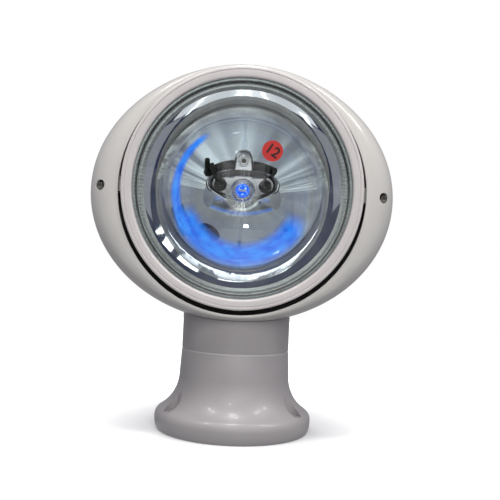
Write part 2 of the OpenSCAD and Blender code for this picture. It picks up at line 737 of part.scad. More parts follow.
module lens() color([0.8, 0.9, 0.95, 0.4]) beam_axis() rotate_extrude() polygon(concat(
    [[0, gasket_y], [stack_r, gasket_y], [stack_r, lens_y]],
    [for (i = [lens_steps : -1 : 0]) let (r = window_r * i / lens_steps)
        [r, lens_y - lens_bulge * (1 - pow(r / window_r, 2))]]));

module lens_sticker() color([0.75, 0.08, 0.06]) beam_axis() rotate(-sticker_angle)
    translate([sticker_out, 0, lens_y - lens_bulge * (1 - pow(sticker_out / window_r, 2)) - sticker_gap])
        rotate([0, atan(-2 * lens_bulge * sticker_out / pow(window_r, 2)), 0])
            mirror([0, 0, 1]) cylinder(r = sticker_r, h = sticker_t);

module bezel_profile(y) polygon(concat(
    [[window_r, y + bezel_lip], [window_r, y + bezel_round], [window_r + bezel_round, y],
     [groove_r - groove_w, y], [groove_r, y + groove_w], [groove_r + groove_w, y]],
    [for (a = [0 : 22.5 : 90]) [bezel_r - bezel_round * (1 - sin(a)), y + bezel_round * (1 - cos(a))]],
    [[bezel_r, y + bezel_depth], [skirt_r, y + bezel_depth], [skirt_r, y + bezel_lip]]));

module bezel() color(white) difference() {
    beam_axis() rotate_extrude() bezel_profile(-bezel_ahead);
    bezel_screw_axis() translate([0, 0, skirt_r - 2]) cylinder(r = screw_r + fit, h = bezel_wall + 4);
}

module bezel_screw_axis() at_lamp() translate([0, bezel_screw_y, 0]) children();

module bezel_screw() color(steel) bezel_screw_axis() translate([0, 0, bezel_r])
    screw(screw_r, screw_head_r, bezel_head_h, bezel_wall + bezel_screw_in);

module bezel_hook() color(steel) at_lamp() translate([-hook_w / 2, flange_y, -bezel_r - hook_out])
    cube([hook_w, bezel_depth - bezel_ahead - flange_y - 1, hook_out]);

module housing_outside() polygon(concat(
    [[0, flange_y], [rim_r, flange_y], [rim_r, flange_y + housing_rim_t]],
    reversed([for (p = bowl(housing_neck_r, mirror_r, housing_steps, housing_skin)) p]),
    [[housing_neck_r, housing_back], [0, housing_back]]));
module housing_inside() polygon(concat(
    [[0, flange_y - eps], [mirror_r + 1, flange_y - eps]],
    reversed([for (p = bowl(housing_neck_r - housing_wall, mirror_r, housing_steps, housing_void))
        [p[0], max(p[1], flange_y)]]),
    [[housing_neck_r - housing_wall, housing_back - housing_wall], [0, housing_back - housing_wall]]));

module lamp_housing() color(black) difference() {
    union() {
        beam_axis() rotate_extrude() housing_outside();
        for (side = [-1, 1]) trunnion_axis(side, trunnion_root)
            cylinder(r = trunnion_r, h = trunnion_x - trunnion_root);
    }
    beam_axis() rotate_extrude() housing_inside();
    for (side = [-1, 1]) trunnion_axis(side, pin_in) cylinder(r = pin_r + fit / 2, h = pin_l + 1);
    bezel_screw_axis() translate([0, 0, skirt_r - bezel_screw_in - pilot_over])
        cylinder(r = screw_r + fit, h = bezel_screw_in + pilot_over + bezel_wall);
    sector_screw_spots() translate([0, 0, -housing_wall - 1])
        cylinder(r = screw_r + fit, h = housing_wall + 2);
}

module bulb_glass() color([0.35, 0.5, 0.9, 0.5]) beam_axis() rotate_extrude() {
    polygon(concat(
        [for (a = [0 : 15 : 90]) [bulb_r * sin(a), bulb_tip_y + bulb_r - bulb_r * cos(a)]],
        [[bulb_r, bulb_base_y], [bulb_r - bulb_wall, bulb_base_y]],
        [for (a = [90 : -15 : 0])
            [(bulb_r - bulb_wall) * sin(a), bulb_tip_y + bulb_r - (bulb_r - bulb_wall) * cos(a)]]));
}

module bulb_filament() color(steel) beam_axis() {
    filament_y = vertex_y - focal;
    translate([0, 0, filament_y]) rotate([0, 90, 0]) cylinder(r = filament_r, h = filament_l, center = true);
    both_sides(support_x) translate([0, 0, filament_y]) cylinder(r = support_r, h = bulb_base_y - filament_y);
}

module bulb_ears() for (p = ear_spots) hull() {
    circle(r = bulb_r);
    translate([p[0], -p[1]]) circle(r = ear_r);
}

module bulb_base() color(steel) beam_axis() {
    translate([0, 0, bulb_base_y]) cylinder(r = bulb_base_r, h = bulb_flange_y - bulb_base_y + eps);
    translate([0, 0, plate_y]) linear_extrude(ear_t) bulb_ears();
    translate([0, 0, bulb_flange_y]) cylinder(r = bulb_flange_r, h = bulb_flange_t);
}

module bulb_clip() color(steel) beam_axis() translate([0, 0, socket_y + clip_wire_r])
    rotate(30) rotate_extrude(angle = 300) translate([clip_r, 0]) circle(r = clip_wire_r, $fn = 24);

module bulb_socket() color(nylon) beam_axis() {
    translate([0, 0, socket_y]) cylinder(r = socket_r, h = housing_back - housing_wall - socket_y);
}

// Black rivets on the ears, and the two leads behind the plate
module bulb_leads() color(black) beam_axis() {
    for (p = ear_spots) translate([p[0], -p[1], plate_y - bead_h]) cylinder(r = bead_r, h = bead_h);
    both_sides(bulb_base_r + lead_r + seat) translate([0, 0, plate_y + ear_t])
        cylinder(r = lead_r, h = bulb_flange_y - plate_y - ear_t);
}

module sector_screw_spots() at_lamp() both_sides(sector_screw_x)
    translate([0, housing_back, (sector_foot_low + sector_foot_high) / 2]) rotate([-90, 0, 0]) children();

module sector_pie() {
    outline = teeth_outline(sector_teeth, -sector_half, sector_half + sector_extra);
    difference() {
        rotate(-tilt_drive_angle - aim_down) polygon(concat([[0, 0]], outline));
        intersection() {
            circle(r = sector_inner_r);
            translate([housing_back - 2 * sector_pitch_r, -sector_pitch_r]) square(2 * sector_pitch_r);
        }
    }
}

module tilt_sector() color(nylon) difference() {
    union() {
        lamp_plane() translate([0, 0, -sector_t / 2]) linear_extrude(sector_t) sector_pie();
        at_lamp() translate([-sector_foot_x, housing_back, sector_foot_low])
            cube([2 * sector_foot_x, sector_foot_t, sector_foot_high - sector_foot_low]);
    }
    sector_screw_spots() translate([0, 0, -1]) cylinder(r = screw_r + fit, h = sector_foot_t + 2);
}

module sector_screws() color(steel) sector_screw_spots() translate([0, 0, sector_foot_t])
    screw(screw_r, screw_head_r, screw_head_h, sector_foot_t + housing_wall);

module tilt_drive(x) at_pivot() translate([x, tilt_y, tilt_z]) rotate([90, 0, 90]) children();

module tilt_pinion() color(nylon) tilt_drive(-tilt_pinion_w / 2) difference() {
    rotate(180 - tilt_drive_angle + 180 / pinion_teeth) spur_gear(pinion_teeth, tilt_pinion_w);
    translate([0, 0, -eps]) cylinder(r = tilt_shaft_r + fit / 2, h = tilt_pinion_w + 1);
}

module tilt_motor_shaft() color(steel) tilt_drive(-tilt_pinion_w / 2)
    cylinder(r = tilt_shaft_r, h = tilt_pinion_w + bracket_t + shaft_in);

module tilt_motor() color(steel) tilt_drive(bracket_x + bracket_t) difference() {
    rotate_extrude() polygon([[0, 0], [tilt_motor_r, 0], [tilt_motor_r, tilt_motor_l - motor_edge],
        [tilt_motor_r - motor_edge, tilt_motor_l], [0, tilt_motor_l]]);
    translate([0, 0, -eps]) cylinder(r = tilt_shaft_r + fit, h = shaft_in + pilot_over);
}

module tilt_bracket() color(steel) difference() {
    union() {
        tilt_plane() translate([0, 0, bracket_x]) linear_extrude(bracket_t) polygon([
            [bracket_low + pivot_ahead, turret_floor_top - pivot_h],
            [bracket_high + pivot_ahead, turret_floor_top - pivot_h],
            [bracket_high + pivot_ahead, tilt_z - bracket_waist],
            [tilt_y + tilt_motor_r + bracket_margin, tilt_z - bracket_step],
            [tilt_y + tilt_motor_r + bracket_margin, tilt_z + tilt_motor_r + bracket_margin],
            [tilt_y - tilt_motor_r - bracket_margin, tilt_z + tilt_motor_r + bracket_margin],
            [bracket_low + pivot_ahead, tilt_z - bracket_waist]]);
        translate([bracket_x, bracket_low, turret_floor_top])
            cube([bracket_foot_x - bracket_x, bracket_high - bracket_low, bracket_t]);
    }
    tilt_drive(bracket_x - 1) cylinder(r = tilt_shaft_r + fit, h = bracket_t + 2);
    bracket_screw_spots(turret_floor_top - eps) cylinder(r = screw_r + fit, h = bracket_t + 1);
}

module bracket_screw_spots(z) translate([bracket_x + foot_screw_x, bracket_mid, z])
    for (s = [-1, 1]) translate([0, s * bracket_screw_y, 0]) children();

module tilt_bracket_screws() color(steel) bracket_screw_spots(turret_floor_top + bracket_t)
    screw(screw_r, screw_head_r, screw_head_h, bracket_t + floor_t);

pedestal_base();
deck_gasket();
bottom_cover();
bottom_cover_screws();
cable_gland();
gland_nut();
pan_motor();
pan_motor_screws();
spindle_bush();
slide_ring();
pan_motor_shaft();
pan_pinion();
turret_neck();
pan_spindle();
spindle_screws();
pan_gear();
gear_pin();
spring_washer();
spindle_nut();
yoke();
yoke_screws();
trunnion_block(-1);  // trunnion_block_left
trunnion_block(1);  // trunnion_block_right
trunnion_bush(-1);  // trunnion_bush_left
trunnion_bush(1);  // trunnion_bush_right
front_shell();
rear_shell();
shell_screws();
tilt_bracket();
tilt_bracket_screws();
tilt_motor();
tilt_motor_shaft();
tilt_pinion();
lamp_housing();
trunnion_pin(-1);  // trunnion_pin_left
trunnion_pin(1);  // trunnion_pin_right
reflector();
lens_gasket();
lens();
lens_sticker();
bezel();
bezel_screw();
bezel_hook();
bulb_glass();
bulb_filament();
bulb_base();
bulb_clip();
bulb_socket();
bulb_leads();
tilt_sector();
sector_screws();
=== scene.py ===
"""Looks of the marine searchlight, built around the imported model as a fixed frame."""
import json
from math import acos, asin, atan2, cos, pi, radians, sin, sqrt, tan

import bmesh
import bpy
from mathutils import Matrix, Vector


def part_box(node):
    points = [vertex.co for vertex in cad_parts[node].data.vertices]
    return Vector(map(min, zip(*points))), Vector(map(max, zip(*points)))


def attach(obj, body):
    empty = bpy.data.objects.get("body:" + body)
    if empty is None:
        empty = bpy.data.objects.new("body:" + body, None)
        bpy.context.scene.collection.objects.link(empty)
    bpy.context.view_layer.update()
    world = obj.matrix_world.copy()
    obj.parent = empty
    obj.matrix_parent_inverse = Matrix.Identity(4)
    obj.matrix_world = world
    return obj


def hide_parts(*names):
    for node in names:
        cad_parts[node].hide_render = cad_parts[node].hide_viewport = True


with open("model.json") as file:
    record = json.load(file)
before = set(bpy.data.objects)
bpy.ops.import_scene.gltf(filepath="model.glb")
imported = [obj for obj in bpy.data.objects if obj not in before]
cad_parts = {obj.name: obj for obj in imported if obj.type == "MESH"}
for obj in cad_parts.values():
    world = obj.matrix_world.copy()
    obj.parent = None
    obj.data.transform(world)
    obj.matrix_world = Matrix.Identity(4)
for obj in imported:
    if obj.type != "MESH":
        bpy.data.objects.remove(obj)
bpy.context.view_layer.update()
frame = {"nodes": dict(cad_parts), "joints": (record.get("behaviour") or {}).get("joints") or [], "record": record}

MM = 0.001
IMAGE = 500
SCENE = bpy.context.scene
JOINTS = {j["name"]: j for j in frame["joints"]}
PIVOT = Vector(JOINTS["tilt"]["pos_m"])
NODES = frame["nodes"]
DECK = Vector((0, 0, 0))
UP = Vector((0, 0, 1))

# Turned forms end this close to their axis
AXIS_R = 0.02 * MM

# The lamp looks down at rest, and the middle of the head lies just under the tilt axis
AIM = radians(7)
HEAD = PIVOT - Vector((0, 0, 2 * MM))
LAMP_TURN = Matrix.Translation(PIVOT) @ Matrix.Rotation(AIM, 4, "X") @ Matrix.Translation(-PIVOT)

# Head shell
FRONT_LOW, FRONT_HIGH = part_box("front_shell")
REAR_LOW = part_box("rear_shell")[0]
HALF_W = FRONT_HIGH.x
HALF_H = 114.4 * MM
OPENING_Y = FRONT_LOW.y - HEAD.y
GIRTH_Y = REAR_LOW.y - HEAD.y
FRONT_DEPTH = GIRTH_Y - OPENING_Y
REAR_DEPTH = 93 * MM
OPENING_R = 106.4 * MM
LAND = 1.2 * MM
LIP_R = OPENING_R + LAND
SWEEP_R = sqrt(OPENING_R ** 2 + OPENING_Y ** 2)
WALL = 3.5 * MM
SHELL_SIDES = 192
NECK_HOLE_R = 40 * MM
SEAM_ROUND = 0.5 * MM
SHELL_SCREW_X = HALF_W - 13.5 * MM
SHELL_RECESS_R = 4.6 * MM
SHELL_RECESS_Y = -4 * MM
SHELL_SCREW_R = 2.04 * MM
SHELL_RECESS_CUT = 40 * MM
SHELL_SCREW_START = -6 * MM
SHELL_SCREW_CUT = 60 * MM
NECK_HOLE_START = 50 * MM
NECK_HOLE_CUT = 110 * MM

# Pedestal and neck
FOOT_R = 71.7 * MM
FOOT_EDGE_H = 11 * MM
FOOT_TUCK = 3.2 * MM
FOOT_ROUND = 9 * MM
FLARE_H = 50 * MM
NECK_R = 49.5 * MM
NECK_TAPER = 1 * MM
NECK_WALL = 4 * MM
CHAMBER_R = NECK_R - NECK_WALL
JOINT_H = 71.4 * MM
CAVITY_R = 60.5 * MM
WEB_H = 50 * MM
WEB_TOP = 54 * MM
BUSH_R = 12 * MM
BOLT_PCR = 61 * MM
BOLT_HOLE_R = 2.7 * MM
BOLT_RECESS_R = 7.5 * MM
BOLT_BOSS_R = 9.5 * MM
BOLT_FLOOR = 18 * MM
BOLT_ANGLES = (90, 210, 330)
BOLT_HOLE_START = -5 * MM
SHAFT_HOLE_R = 3 * MM
SHAFT_HOLE_START = 45 * MM
SHAFT_HOLE_CUT = 15 * MM
EDGE_ROUND = 0.7 * MM
TURRET_FLOOR_RISE = 3.4 * MM
TURRET_FLOOR_T = 4 * MM
TURRET_PLAY = 0.1 * MM
SPINDLE_HOLE_R = 10.04 * MM
HEAD_GAP = 0.2 * MM

# How far the middle of a seam's rounded edge lies in, as a share of its rounding
EDGE_BITE = 0.3

# Lamp, measured along the beam from the tilt axis
BEZEL_R = 102 * MM
BEZEL_Y = -28 * MM
BEZEL_BACK = -11 * MM
BEZEL_BAND = 9.2 * MM
BEZEL_LIP = 4 * MM
BEZEL_WALL = 2.6 * MM
WINDOW_R = BEZEL_R - BEZEL_BAND
STACK_R = 99 * MM
LENS_Y = -24 * MM
LENS_BACK = -20 * MM
LENS_BULGE = 1.5 * MM
FOCAL = 35 * MM
MIRROR_R = 84 * MM
MIRROR_Y = -18 * MM
MIRROR_WALL = 1.5 * MM
VERTEX_Y = MIRROR_Y + MIRROR_R ** 2 / (4 * FOCAL)
MIRROR_HOLE_R = 16 * MM
BULB_R = 9.5 * MM
BULB_TIP_Y = VERTEX_Y - 45 * MM
BULB_BASE_Y = VERTEX_Y - 14 * MM
PLATE_Y = BULB_BASE_Y + 1 * MM
EARS = ((21 * MM, 6 * MM), (0, 27 * MM), (-21 * MM, 6 * MM))
CORE_R = 6.3 * MM
CORE_Y = VERTEX_Y - 21 * MM

# Blue coat in the bulb: each end is an angle in degrees, and two distances ahead of the vertex in mm
COAT_R = 5.3 * MM
COAT_WALL = 0.15 * MM
BAND_ENDS = ((-174, 35.8, 41.9), (-10, 35.8, 41.9))
STREAK_ENDS = ((212, 38.2, 41.2), (116, 39.6, 41.2))

# Tape round the leads, across and up from the beam in mm
TAPE_AHEAD = 3 * MM
TAPE_R = 2.9 * MM
TAPE_PATH = ((-26, 11.5), (-18, 14), (-10, 15.8), (3, 15.8), (12, 15.4), (21, 14))
STUB_R = 2.1 * MM
STUB_PATH = ((-25, 12), (-27, 17), (-29, 23.5))

# Sticker on the lens
STICKER_OUT = 41 * MM
STICKER_ANGLE = radians(55)
STICKER_FACE = 0.42 * MM
DIGITS_TURN = radians(-33)
DIGITS_SIZE = 12.5 * MM


def node_links(material):
    material.use_nodes = True
    tree = material.node_tree
    return tree.nodes, tree.links, tree.nodes["Principled BSDF"]


def textured(name, colour, roughness, vary=0.03, grain=60.0, bump=0.05, bump_scale=900.0, metallic=0.0,
             coat=0.0, speck=0.0):
    """A moulded or metal surface with uneven colour, uneven gloss and a fine bump."""
    material = bpy.data.materials.new(name)
    nodes, links, shader = node_links(material)
    place = nodes.new("ShaderNodeTexCoord")
    cloud = nodes.new("ShaderNodeTexNoise")
    cloud.inputs["Scale"].default_value = grain
    cloud.inputs["Detail"].default_value = 5
    links.new(place.outputs["Object"], cloud.inputs["Vector"])
    tint = nodes.new("ShaderNodeValToRGB")
    tint.color_ramp.elements[0].position = 0.3
    tint.color_ramp.elements[1].position = 0.7
    tint.color_ramp.elements[0].color = [c * (1 - vary) for c in colour] + [1]
    tint.color_ramp.elements[1].color = [min(1, c * (1 + vary)) for c in colour] + [1]
    links.new(cloud.outputs["Fac"], tint.inputs["Fac"])
    base = tint.outputs["Color"]
    if speck:
        dust = nodes.new("ShaderNodeTexVoronoi")
        dust.inputs["Scale"].default_value = 160
        links.new(place.outputs["Object"], dust.inputs["Vector"])
        spots = nodes.new("ShaderNodeMapRange")
        spots.inputs["From Min"].default_value = 0.02
        spots.inputs["From Max"].default_value = 0.09
        spots.inputs["To Min"].default_value = speck
        spots.inputs["To Max"].default_value = 0
        links.new(dust.outputs["Distance"], spots.inputs["Value"])
        mix = nodes.new("ShaderNodeMixRGB")
        mix.inputs["Color2"].default_value = (0.20, 0.18, 0.15, 1)
        links.new(spots.outputs["Result"], mix.inputs["Fac"])
        links.new(base, mix.inputs["Color1"])
        base = mix.outputs["Color"]
    links.new(base, shader.inputs["Base Color"])
    gloss = nodes.new("ShaderNodeMapRange")
    gloss.inputs["To Min"].default_value = roughness * 0.8
    gloss.inputs["To Max"].default_value = min(1, roughness * 1.25)
    links.new(cloud.outputs["Fac"], gloss.inputs["Value"])
    links.new(gloss.outputs["Result"], shader.inputs["Roughness"])
    fine = nodes.new("ShaderNodeTexNoise")
    fine.inputs["Scale"].default_value = bump_scale
    links.new(place.outputs["Object"], fine.inputs["Vector"])
    relief = nodes.new("ShaderNodeBump")
    relief.inputs["Strength"].default_value = bump
    relief.inputs["Distance"].default_value = 0.0004
    links.new(fine.outputs["Fac"], relief.inputs["Height"])
    links.new(relief.outputs["Normal"], shader.inputs["Normal"])
    shader.inputs["Metallic"].default_value = metallic
    shader.inputs["Coat Weight"].default_value = coat
    shader.inputs["Coat Roughness"].default_value = 0.08
    return material


MATERIALS = {
    "white_shell": textured("white_gelcoat", (0.58, 0.56, 0.53), 0.24, 0.015, 14, 0.03, 260,
                            coat=0.5, speck=0.25),
    # The pedestal and neck take a darker copy of the shell's white: the darkness is painted shade, for the shade
    # under the head.
    "white_pedestal": textured("white_moulding_painted_shade", (0.335, 0.315, 0.32), 0.36, 0.02, 14, 0.04, 300,
                               coat=0.12, speck=0.25),
    "bezel_white": textured("bezel_moulding", (0.65, 0.61, 0.595), 0.34, 0.03, 40, 0.10, 500,
                            coat=0.2, speck=0.2),
    "dark_steel": textured("oiled_steel", (0.22, 0.21, 0.19), 0.20, 0.15, 400, 0.08, 1500, metallic=1),
    "steel": textured("stainless_steel", (0.62, 0.62, 0.63), 0.28, 0.08, 400, 0.08, 1500, metallic=1),
    "bronze": textured("bearing_bronze", (0.55, 0.38, 0.18), 0.35, 0.10, 300, 0.10, 1200, metallic=1),
    "grey_rubber": textured("grey_rubber", (0.40, 0.40, 0.40), 0.35, 0.10, 200, 0.10, 900),
    "rubber": textured("black_rubber", (0.025, 0.025, 0.027), 0.70, 0.15, 200, 0.20, 900),
    "black_plastic": textured("black_moulding", (0.018, 0.018, 0.02), 0.50, 0.15, 120, 0.15, 800),
    "grey_nylon": textured("grey_nylon", (0.50, 0.50, 0.48), 0.45, 0.05, 150, 0.10, 700),
    "gear_nylon": textured("natural_acetal", (0.75, 0.72, 0.62), 0.40, 0.04, 150, 0.08, 700),
    "motor_can": textured("drawn_steel_can", (0.55, 0.56, 0.58), 0.32, 0.08, 250, 0.08, 1200, metallic=1),
    "bulb_metal": textured("plated_brass", (0.84, 0.84, 0.87), 0.13, 0.05, 300, 0.05, 1000, metallic=1),
    "ceramic": textured("lamp_ceramic", (0.80, 0.77, 0.70), 0.60, 0.05, 200, 0.15, 700),
    "lead_sleeve": textured("black_sleeve", (0.010, 0.008, 0.007), 0.60, 0.30, 260, 0.40, 600),
    "shell_inside": textured("shell_inside", (0.020, 0.020, 0.021), 0.55, 0.20, 90, 0.20, 500),
}


def mirror_material():
    """Vacuum metallised surface with a faint ripple and a little haze."""
    material = bpy.data.materials.new("metallised_mirror")
    nodes, links, shader = node_links(material)
    place = nodes.new("ShaderNodeTexCoord")
    haze = nodes.new("ShaderNodeTexNoise")
    haze.inputs["Scale"].default_value = 35
    haze.inputs["Detail"].default_value = 6
    links.new(place.outputs["Object"], haze.inputs["Vector"])
    rough = nodes.new("ShaderNodeMapRange")
    rough.inputs["To Min"].default_value = 0.001
    rough.inputs["To Max"].default_value = 0.02
    links.new(haze.outputs["Fac"], rough.inputs["Value"])
    links.new(rough.outputs["Result"], shader.inputs["Roughness"])
    ripple = nodes.new("ShaderNodeTexNoise")
    ripple.inputs["Scale"].default_value = 60
    upright = nodes.new("ShaderNodeMapping")
    upright.inputs["Scale"].default_value = (1, 0.3, 0.2)
    links.new(place.outputs["Object"], upright.inputs["Vector"])
    links.new(upright.outputs["Vector"], ripple.inputs["Vector"])
    relief = nodes.new("ShaderNodeBump")
    relief.inputs["Strength"].default_value = 0.01
    relief.inputs["Distance"].default_value = 0.001
    links.new(ripple.outputs["Fac"], relief.inputs["Height"])
    links.new(relief.outputs["Normal"], shader.inputs["Normal"])
    tint = nodes.new("ShaderNodeValToRGB")
    tint.color_ramp.elements[0].color = (0.80, 0.80, 0.81, 1)
    tint.color_ramp.elements[1].color = (0.90, 0.90, 0.91, 1)
    links.new(haze.outputs["Fac"], tint.inputs["Fac"])
    links.new(tint.outputs["Color"], shader.inputs["Base Color"])
    shader.inputs["Metallic"].default_value = 1
    return material


def thin_glass(name, tint, roughness, power):
    """Clear glass that lets light straight through and reflects at a slant, with faint smears."""
    material = bpy.data.materials.new(name)
    nodes, links, shader = node_links(material)
    nodes.remove(shader)
    place = nodes.new("ShaderNodeTexCoord")
    smear = nodes.new("ShaderNodeTexNoise")
    smear.inputs["Scale"].default_value = 25
    smear.inputs["Detail"].default_value = 8
    links.new(place.outputs["Object"], smear.inputs["Vector"])
    rough = nodes.new("ShaderNodeMapRange")
    rough.inputs["From Min"].default_value = 0.45
    rough.inputs["To Max"].default_value = roughness
    links.new(smear.outputs["Fac"], rough.inputs["Value"])
    clear = nodes.new("ShaderNodeBsdfTransparent")
    clear.inputs["Color"].default_value = (*tint, 1)
    shine = nodes.new("ShaderNodeBsdfGlossy")
    links.new(rough.outputs["Result"], shine.inputs["Roughness"])
    slant = nodes.new("ShaderNodeLayerWeight")
    slant.inputs["Blend"].default_value = 0.5
    steep = nodes.new("ShaderNodeMath")
    steep.operation = "POWER"
    steep.inputs[1].default_value = power
    links.new(slant.outputs["Facing"], steep.inputs[0])
    share = nodes.new("ShaderNodeMapRange")
    share.inputs["To Min"].default_value = 0.04
    links.new(steep.outputs["Value"], share.inputs["Value"])
    mix = nodes.new("ShaderNodeMixShader")
    links.new(share.outputs["Result"], mix.inputs["Fac"])
    links.new(clear.outputs["BSDF"], mix.inputs[1])
    links.new(shine.outputs["BSDF"], mix.inputs[2])
    links.new(mix.outputs["Shader"], nodes["Material Output"].inputs["Surface"])
    return material


def blue_coat_glow_material():
    """Blue filter coat in the bulb that thins out towards its edges; its glow is painted light that brightens the
    blue the mirror shows.
    """
    material = bpy.data.materials.new("blue_coat_painted_glow")
    nodes, links, shader = node_links(material)
    place = nodes.new("ShaderNodeTexCoord")
    cloud = nodes.new("ShaderNodeTexNoise")
    cloud.inputs["Scale"].default_value = 900
    links.new(place.outputs["Object"], cloud.inputs["Vector"])
    tint = nodes.new("ShaderNodeValToRGB")
    tint.color_ramp.elements[0].position = 0.35
    tint.color_ramp.elements[1].position = 0.65
    tint.color_ramp.elements[0].color = (0.004, 0.13, 0.80, 1)
    tint.color_ramp.elements[1].color = (0.02, 0.30, 1.0, 1)
    links.new(cloud.outputs["Fac"], tint.inputs["Fac"])
    # The coat glows: painted light that brightens the blue the mirror shows.
    links.new(tint.outputs["Color"], shader.inputs["Emission Color"])
    shader.inputs["Base Color"].default_value = (0.004, 0.03, 0.25, 1)
    shader.inputs["Emission Strength"].default_value = 1.15
    shader.inputs["Roughness"].default_value = 0.3
    cover = nodes.new("ShaderNodeAttribute")
    cover.attribute_name = "cover"
    links.new(cover.outputs["Fac"], shader.inputs["Alpha"])
    return material


def blue_core_glow_material():
    """Blue inner bulb that glows as painted light, with pale spots that are painted glints."""
    material = bpy.data.materials.new("blue_core")
    nodes, links, shader = node_links(material)
    place = nodes.new("ShaderNodeTexCoord")
    glint_cells = nodes.new("ShaderNodeTexVoronoi")
    glint_cells.inputs["Scale"].default_value = 380
    links.new(place.outputs["Object"], glint_cells.inputs["Vector"])
    # Pale spots at the cell centres are painted glints, and the whole core glows as painted light.
    tint = nodes.new("ShaderNodeValToRGB")
    tint.color_ramp.elements[0].color = (0.65, 0.88, 1.0, 1)
    tint.color_ramp.elements[1].color = (0.002, 0.10, 0.75, 1)
    tint.color_ramp.elements[1].position = 0.35
    links.new(glint_cells.outputs["Distance"], tint.inputs["Fac"])
    links.new(tint.outputs["Color"], shader.inputs["Base Color"])
    links.new(tint.outputs["Color"], shader.inputs["Emission Color"])
    shader.inputs["Emission Strength"].default_value = 1.0
    shader.inputs["Roughness"].default_value = 0.15
    return material


MATERIALS["mirror"] = mirror_material()
MATERIALS["lens_glass"] = thin_glass("clear_lens", (0.97, 0.99, 0.985), 0.02, 5)
MATERIALS["bulb_blue_glass"] = thin_glass("quartz_bulb", (0.95, 0.97, 1.0), 0.02, 2)
MATERIALS["flange_metal"] = textured("metallised_flange", (0.55, 0.55, 0.56), 0.22, 0.1, 300, 0.1, 900,
                                     metallic=1)
MATERIALS["blue_coat"] = blue_coat_glow_material()
MATERIALS["blue_core"] = blue_core_glow_material()
MATERIALS["sticker_red"] = textured("red_film", (0.52, 0.03, 0.025), 0.35, 0.06, 500, 0.05, 1200)
MATERIALS["print_black"] = textured("black_print", (0.012, 0.010, 0.010), 0.5, 0.1, 400, 0.05, 1200)

# Nodes that show with another material than their slot's
OWN_FINISH = {"lens_gasket": "grey_rubber"}


def dress(obj, *slots):
    """Sets the object's material slots, in order."""
    obj.data.materials.clear()
    for s in slots:
        obj.data.materials.append(MATERIALS[s])


def link(name, mesh):
    obj = bpy.data.objects.new(name, mesh)
    SCENE.collection.objects.link(obj)
    return obj


def soften(mesh, angle=32):
    """Smooth shading with sharp edges past the angle."""
    for polygon in mesh.polygons:
        polygon.use_smooth = True
    mesh.set_sharp_from_angle(angle=radians(angle))


def piece(name, mesh, body, slot, *replaced, materials=()):
    obj = link(name, mesh)
    dress(obj, *(materials or (slot,)))
    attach(obj, body)
    if replaced:
        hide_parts(*replaced)
    return obj


def ring_mesh(name, rings, loop, inner_from=None):
    """A skin through rings of points. Rings from inner_from on take the second material."""
    count, sides = len(rings), len(rings[0])
    verts = [p for ring in rings for p in ring]
    faces = []
    marks = []
    for k in range(count if loop else count - 1):
        n = (k + 1) % count
        for i in range(sides):
            j = (i + 1) % sides
            faces.append((k * sides + i, k * sides + j, n * sides + j, n * sides + i))
            marks.append(0 if inner_from is None or k < inner_from else 1)
    if not loop:
        faces += [tuple(range(sides))[::-1], tuple((count - 1) * sides + i for i in range(sides))]
        marks += [0, 0 if inner_from is None else 1]
    mesh = bpy.data.meshes.new(name)
    mesh.from_pydata(verts, [], faces)
    mesh.polygons.foreach_set("material_index", marks)
    fix = bmesh.new()
    fix.from_mesh(mesh)
    bmesh.ops.recalc_face_normals(fix, faces=fix.faces)
    fix.to_mesh(mesh)
    fix.free()
    return mesh


def turned(name, profile, centre=DECK, upright=True, sides=192):
    """A closed outline of radius and height, turned about an upright axis or, if not upright, a level one."""
    rings = []
    for r, h in profile:
        ring = []
        for i in range(sides):
            a = 2 * pi * i / sides
            offset = (r * cos(a), r * sin(a), h) if upright else (r * cos(a), h, r * sin(a))
            ring.append(centre + Vector(offset))
        rings.append(ring)
    return ring_mesh(name, rings, True)


def lamp_turned(name, profile, sides=192):
    """A closed outline turned about the beam."""
    mesh = turned(name, profile, PIVOT, False, sides)
    mesh.transform(LAMP_TURN)
    return mesh


def rounded(points, steps=5):
    """Outline points (r, h, fillet); each corner with a fillet becomes an arc."""
    out = []
    count = len(points)
    for i, (r, h, fillet) in enumerate(points):
        here = Vector((r, h))
        if not fillet:
            out.append((r, h))
            continue
        back = (Vector(points[i - 1][:2]) - here).normalized()
        ahead = (Vector(points[(i + 1) % count][:2]) - here).normalized()
        half = acos(max(-1, min(1, back.dot(ahead)))) / 2
        reach = fillet / tan(half)
        centre = here + (back + ahead).normalized() * fillet / sin(half)
        first, last = here + back * reach - centre, here + ahead * reach - centre
        a0, a1 = atan2(first.y, first.x), atan2(last.y, last.x)
        turn = (a1 - a0 + pi) % (2 * pi) - pi
        for k in range(steps + 1):
            a = a0 + turn * k / steps
            out.append((centre.x + fillet * cos(a), centre.y + fillet * sin(a)))
    return out


def cylinder_tool(radius, start, direction, length, sides=64):
    mesh = bpy.data.meshes.new("cutter")
    tool = bmesh.new()
    bmesh.ops.create_cone(tool, cap_ends=True, segments=sides, radius1=radius, radius2=radius, depth=length)
    direction = Vector(direction).normalized()
    turn = direction.to_track_quat("Z", "Y").to_matrix().to_4x4()
    place = Matrix.Translation(Vector(start) + direction * length / 2) @ turn
    bmesh.ops.transform(tool, matrix=place, verts=tool.verts)
    tool.to_mesh(mesh)
    tool.free()
    return link("cutter", mesh)


def carve(mesh, tools):
    """Cuts the tools out of the mesh and returns the new mesh."""
    body = link("carved", mesh)
    for tool in tools:
        cut = body.modifiers.new("cut", "BOOLEAN")
        cut.operation = "DIFFERENCE"
        cut.solver = "EXACT"
        cut.object = tool
    bpy.context.view_layer.update()
    carved = bpy.data.meshes.new_from_object(body.evaluated_get(bpy.context.evaluated_depsgraph_get()))
    carved.name = mesh.name
    for tool in tools:
        bpy.data.objects.remove(tool)
    bpy.data.objects.remove(body)
    return carved


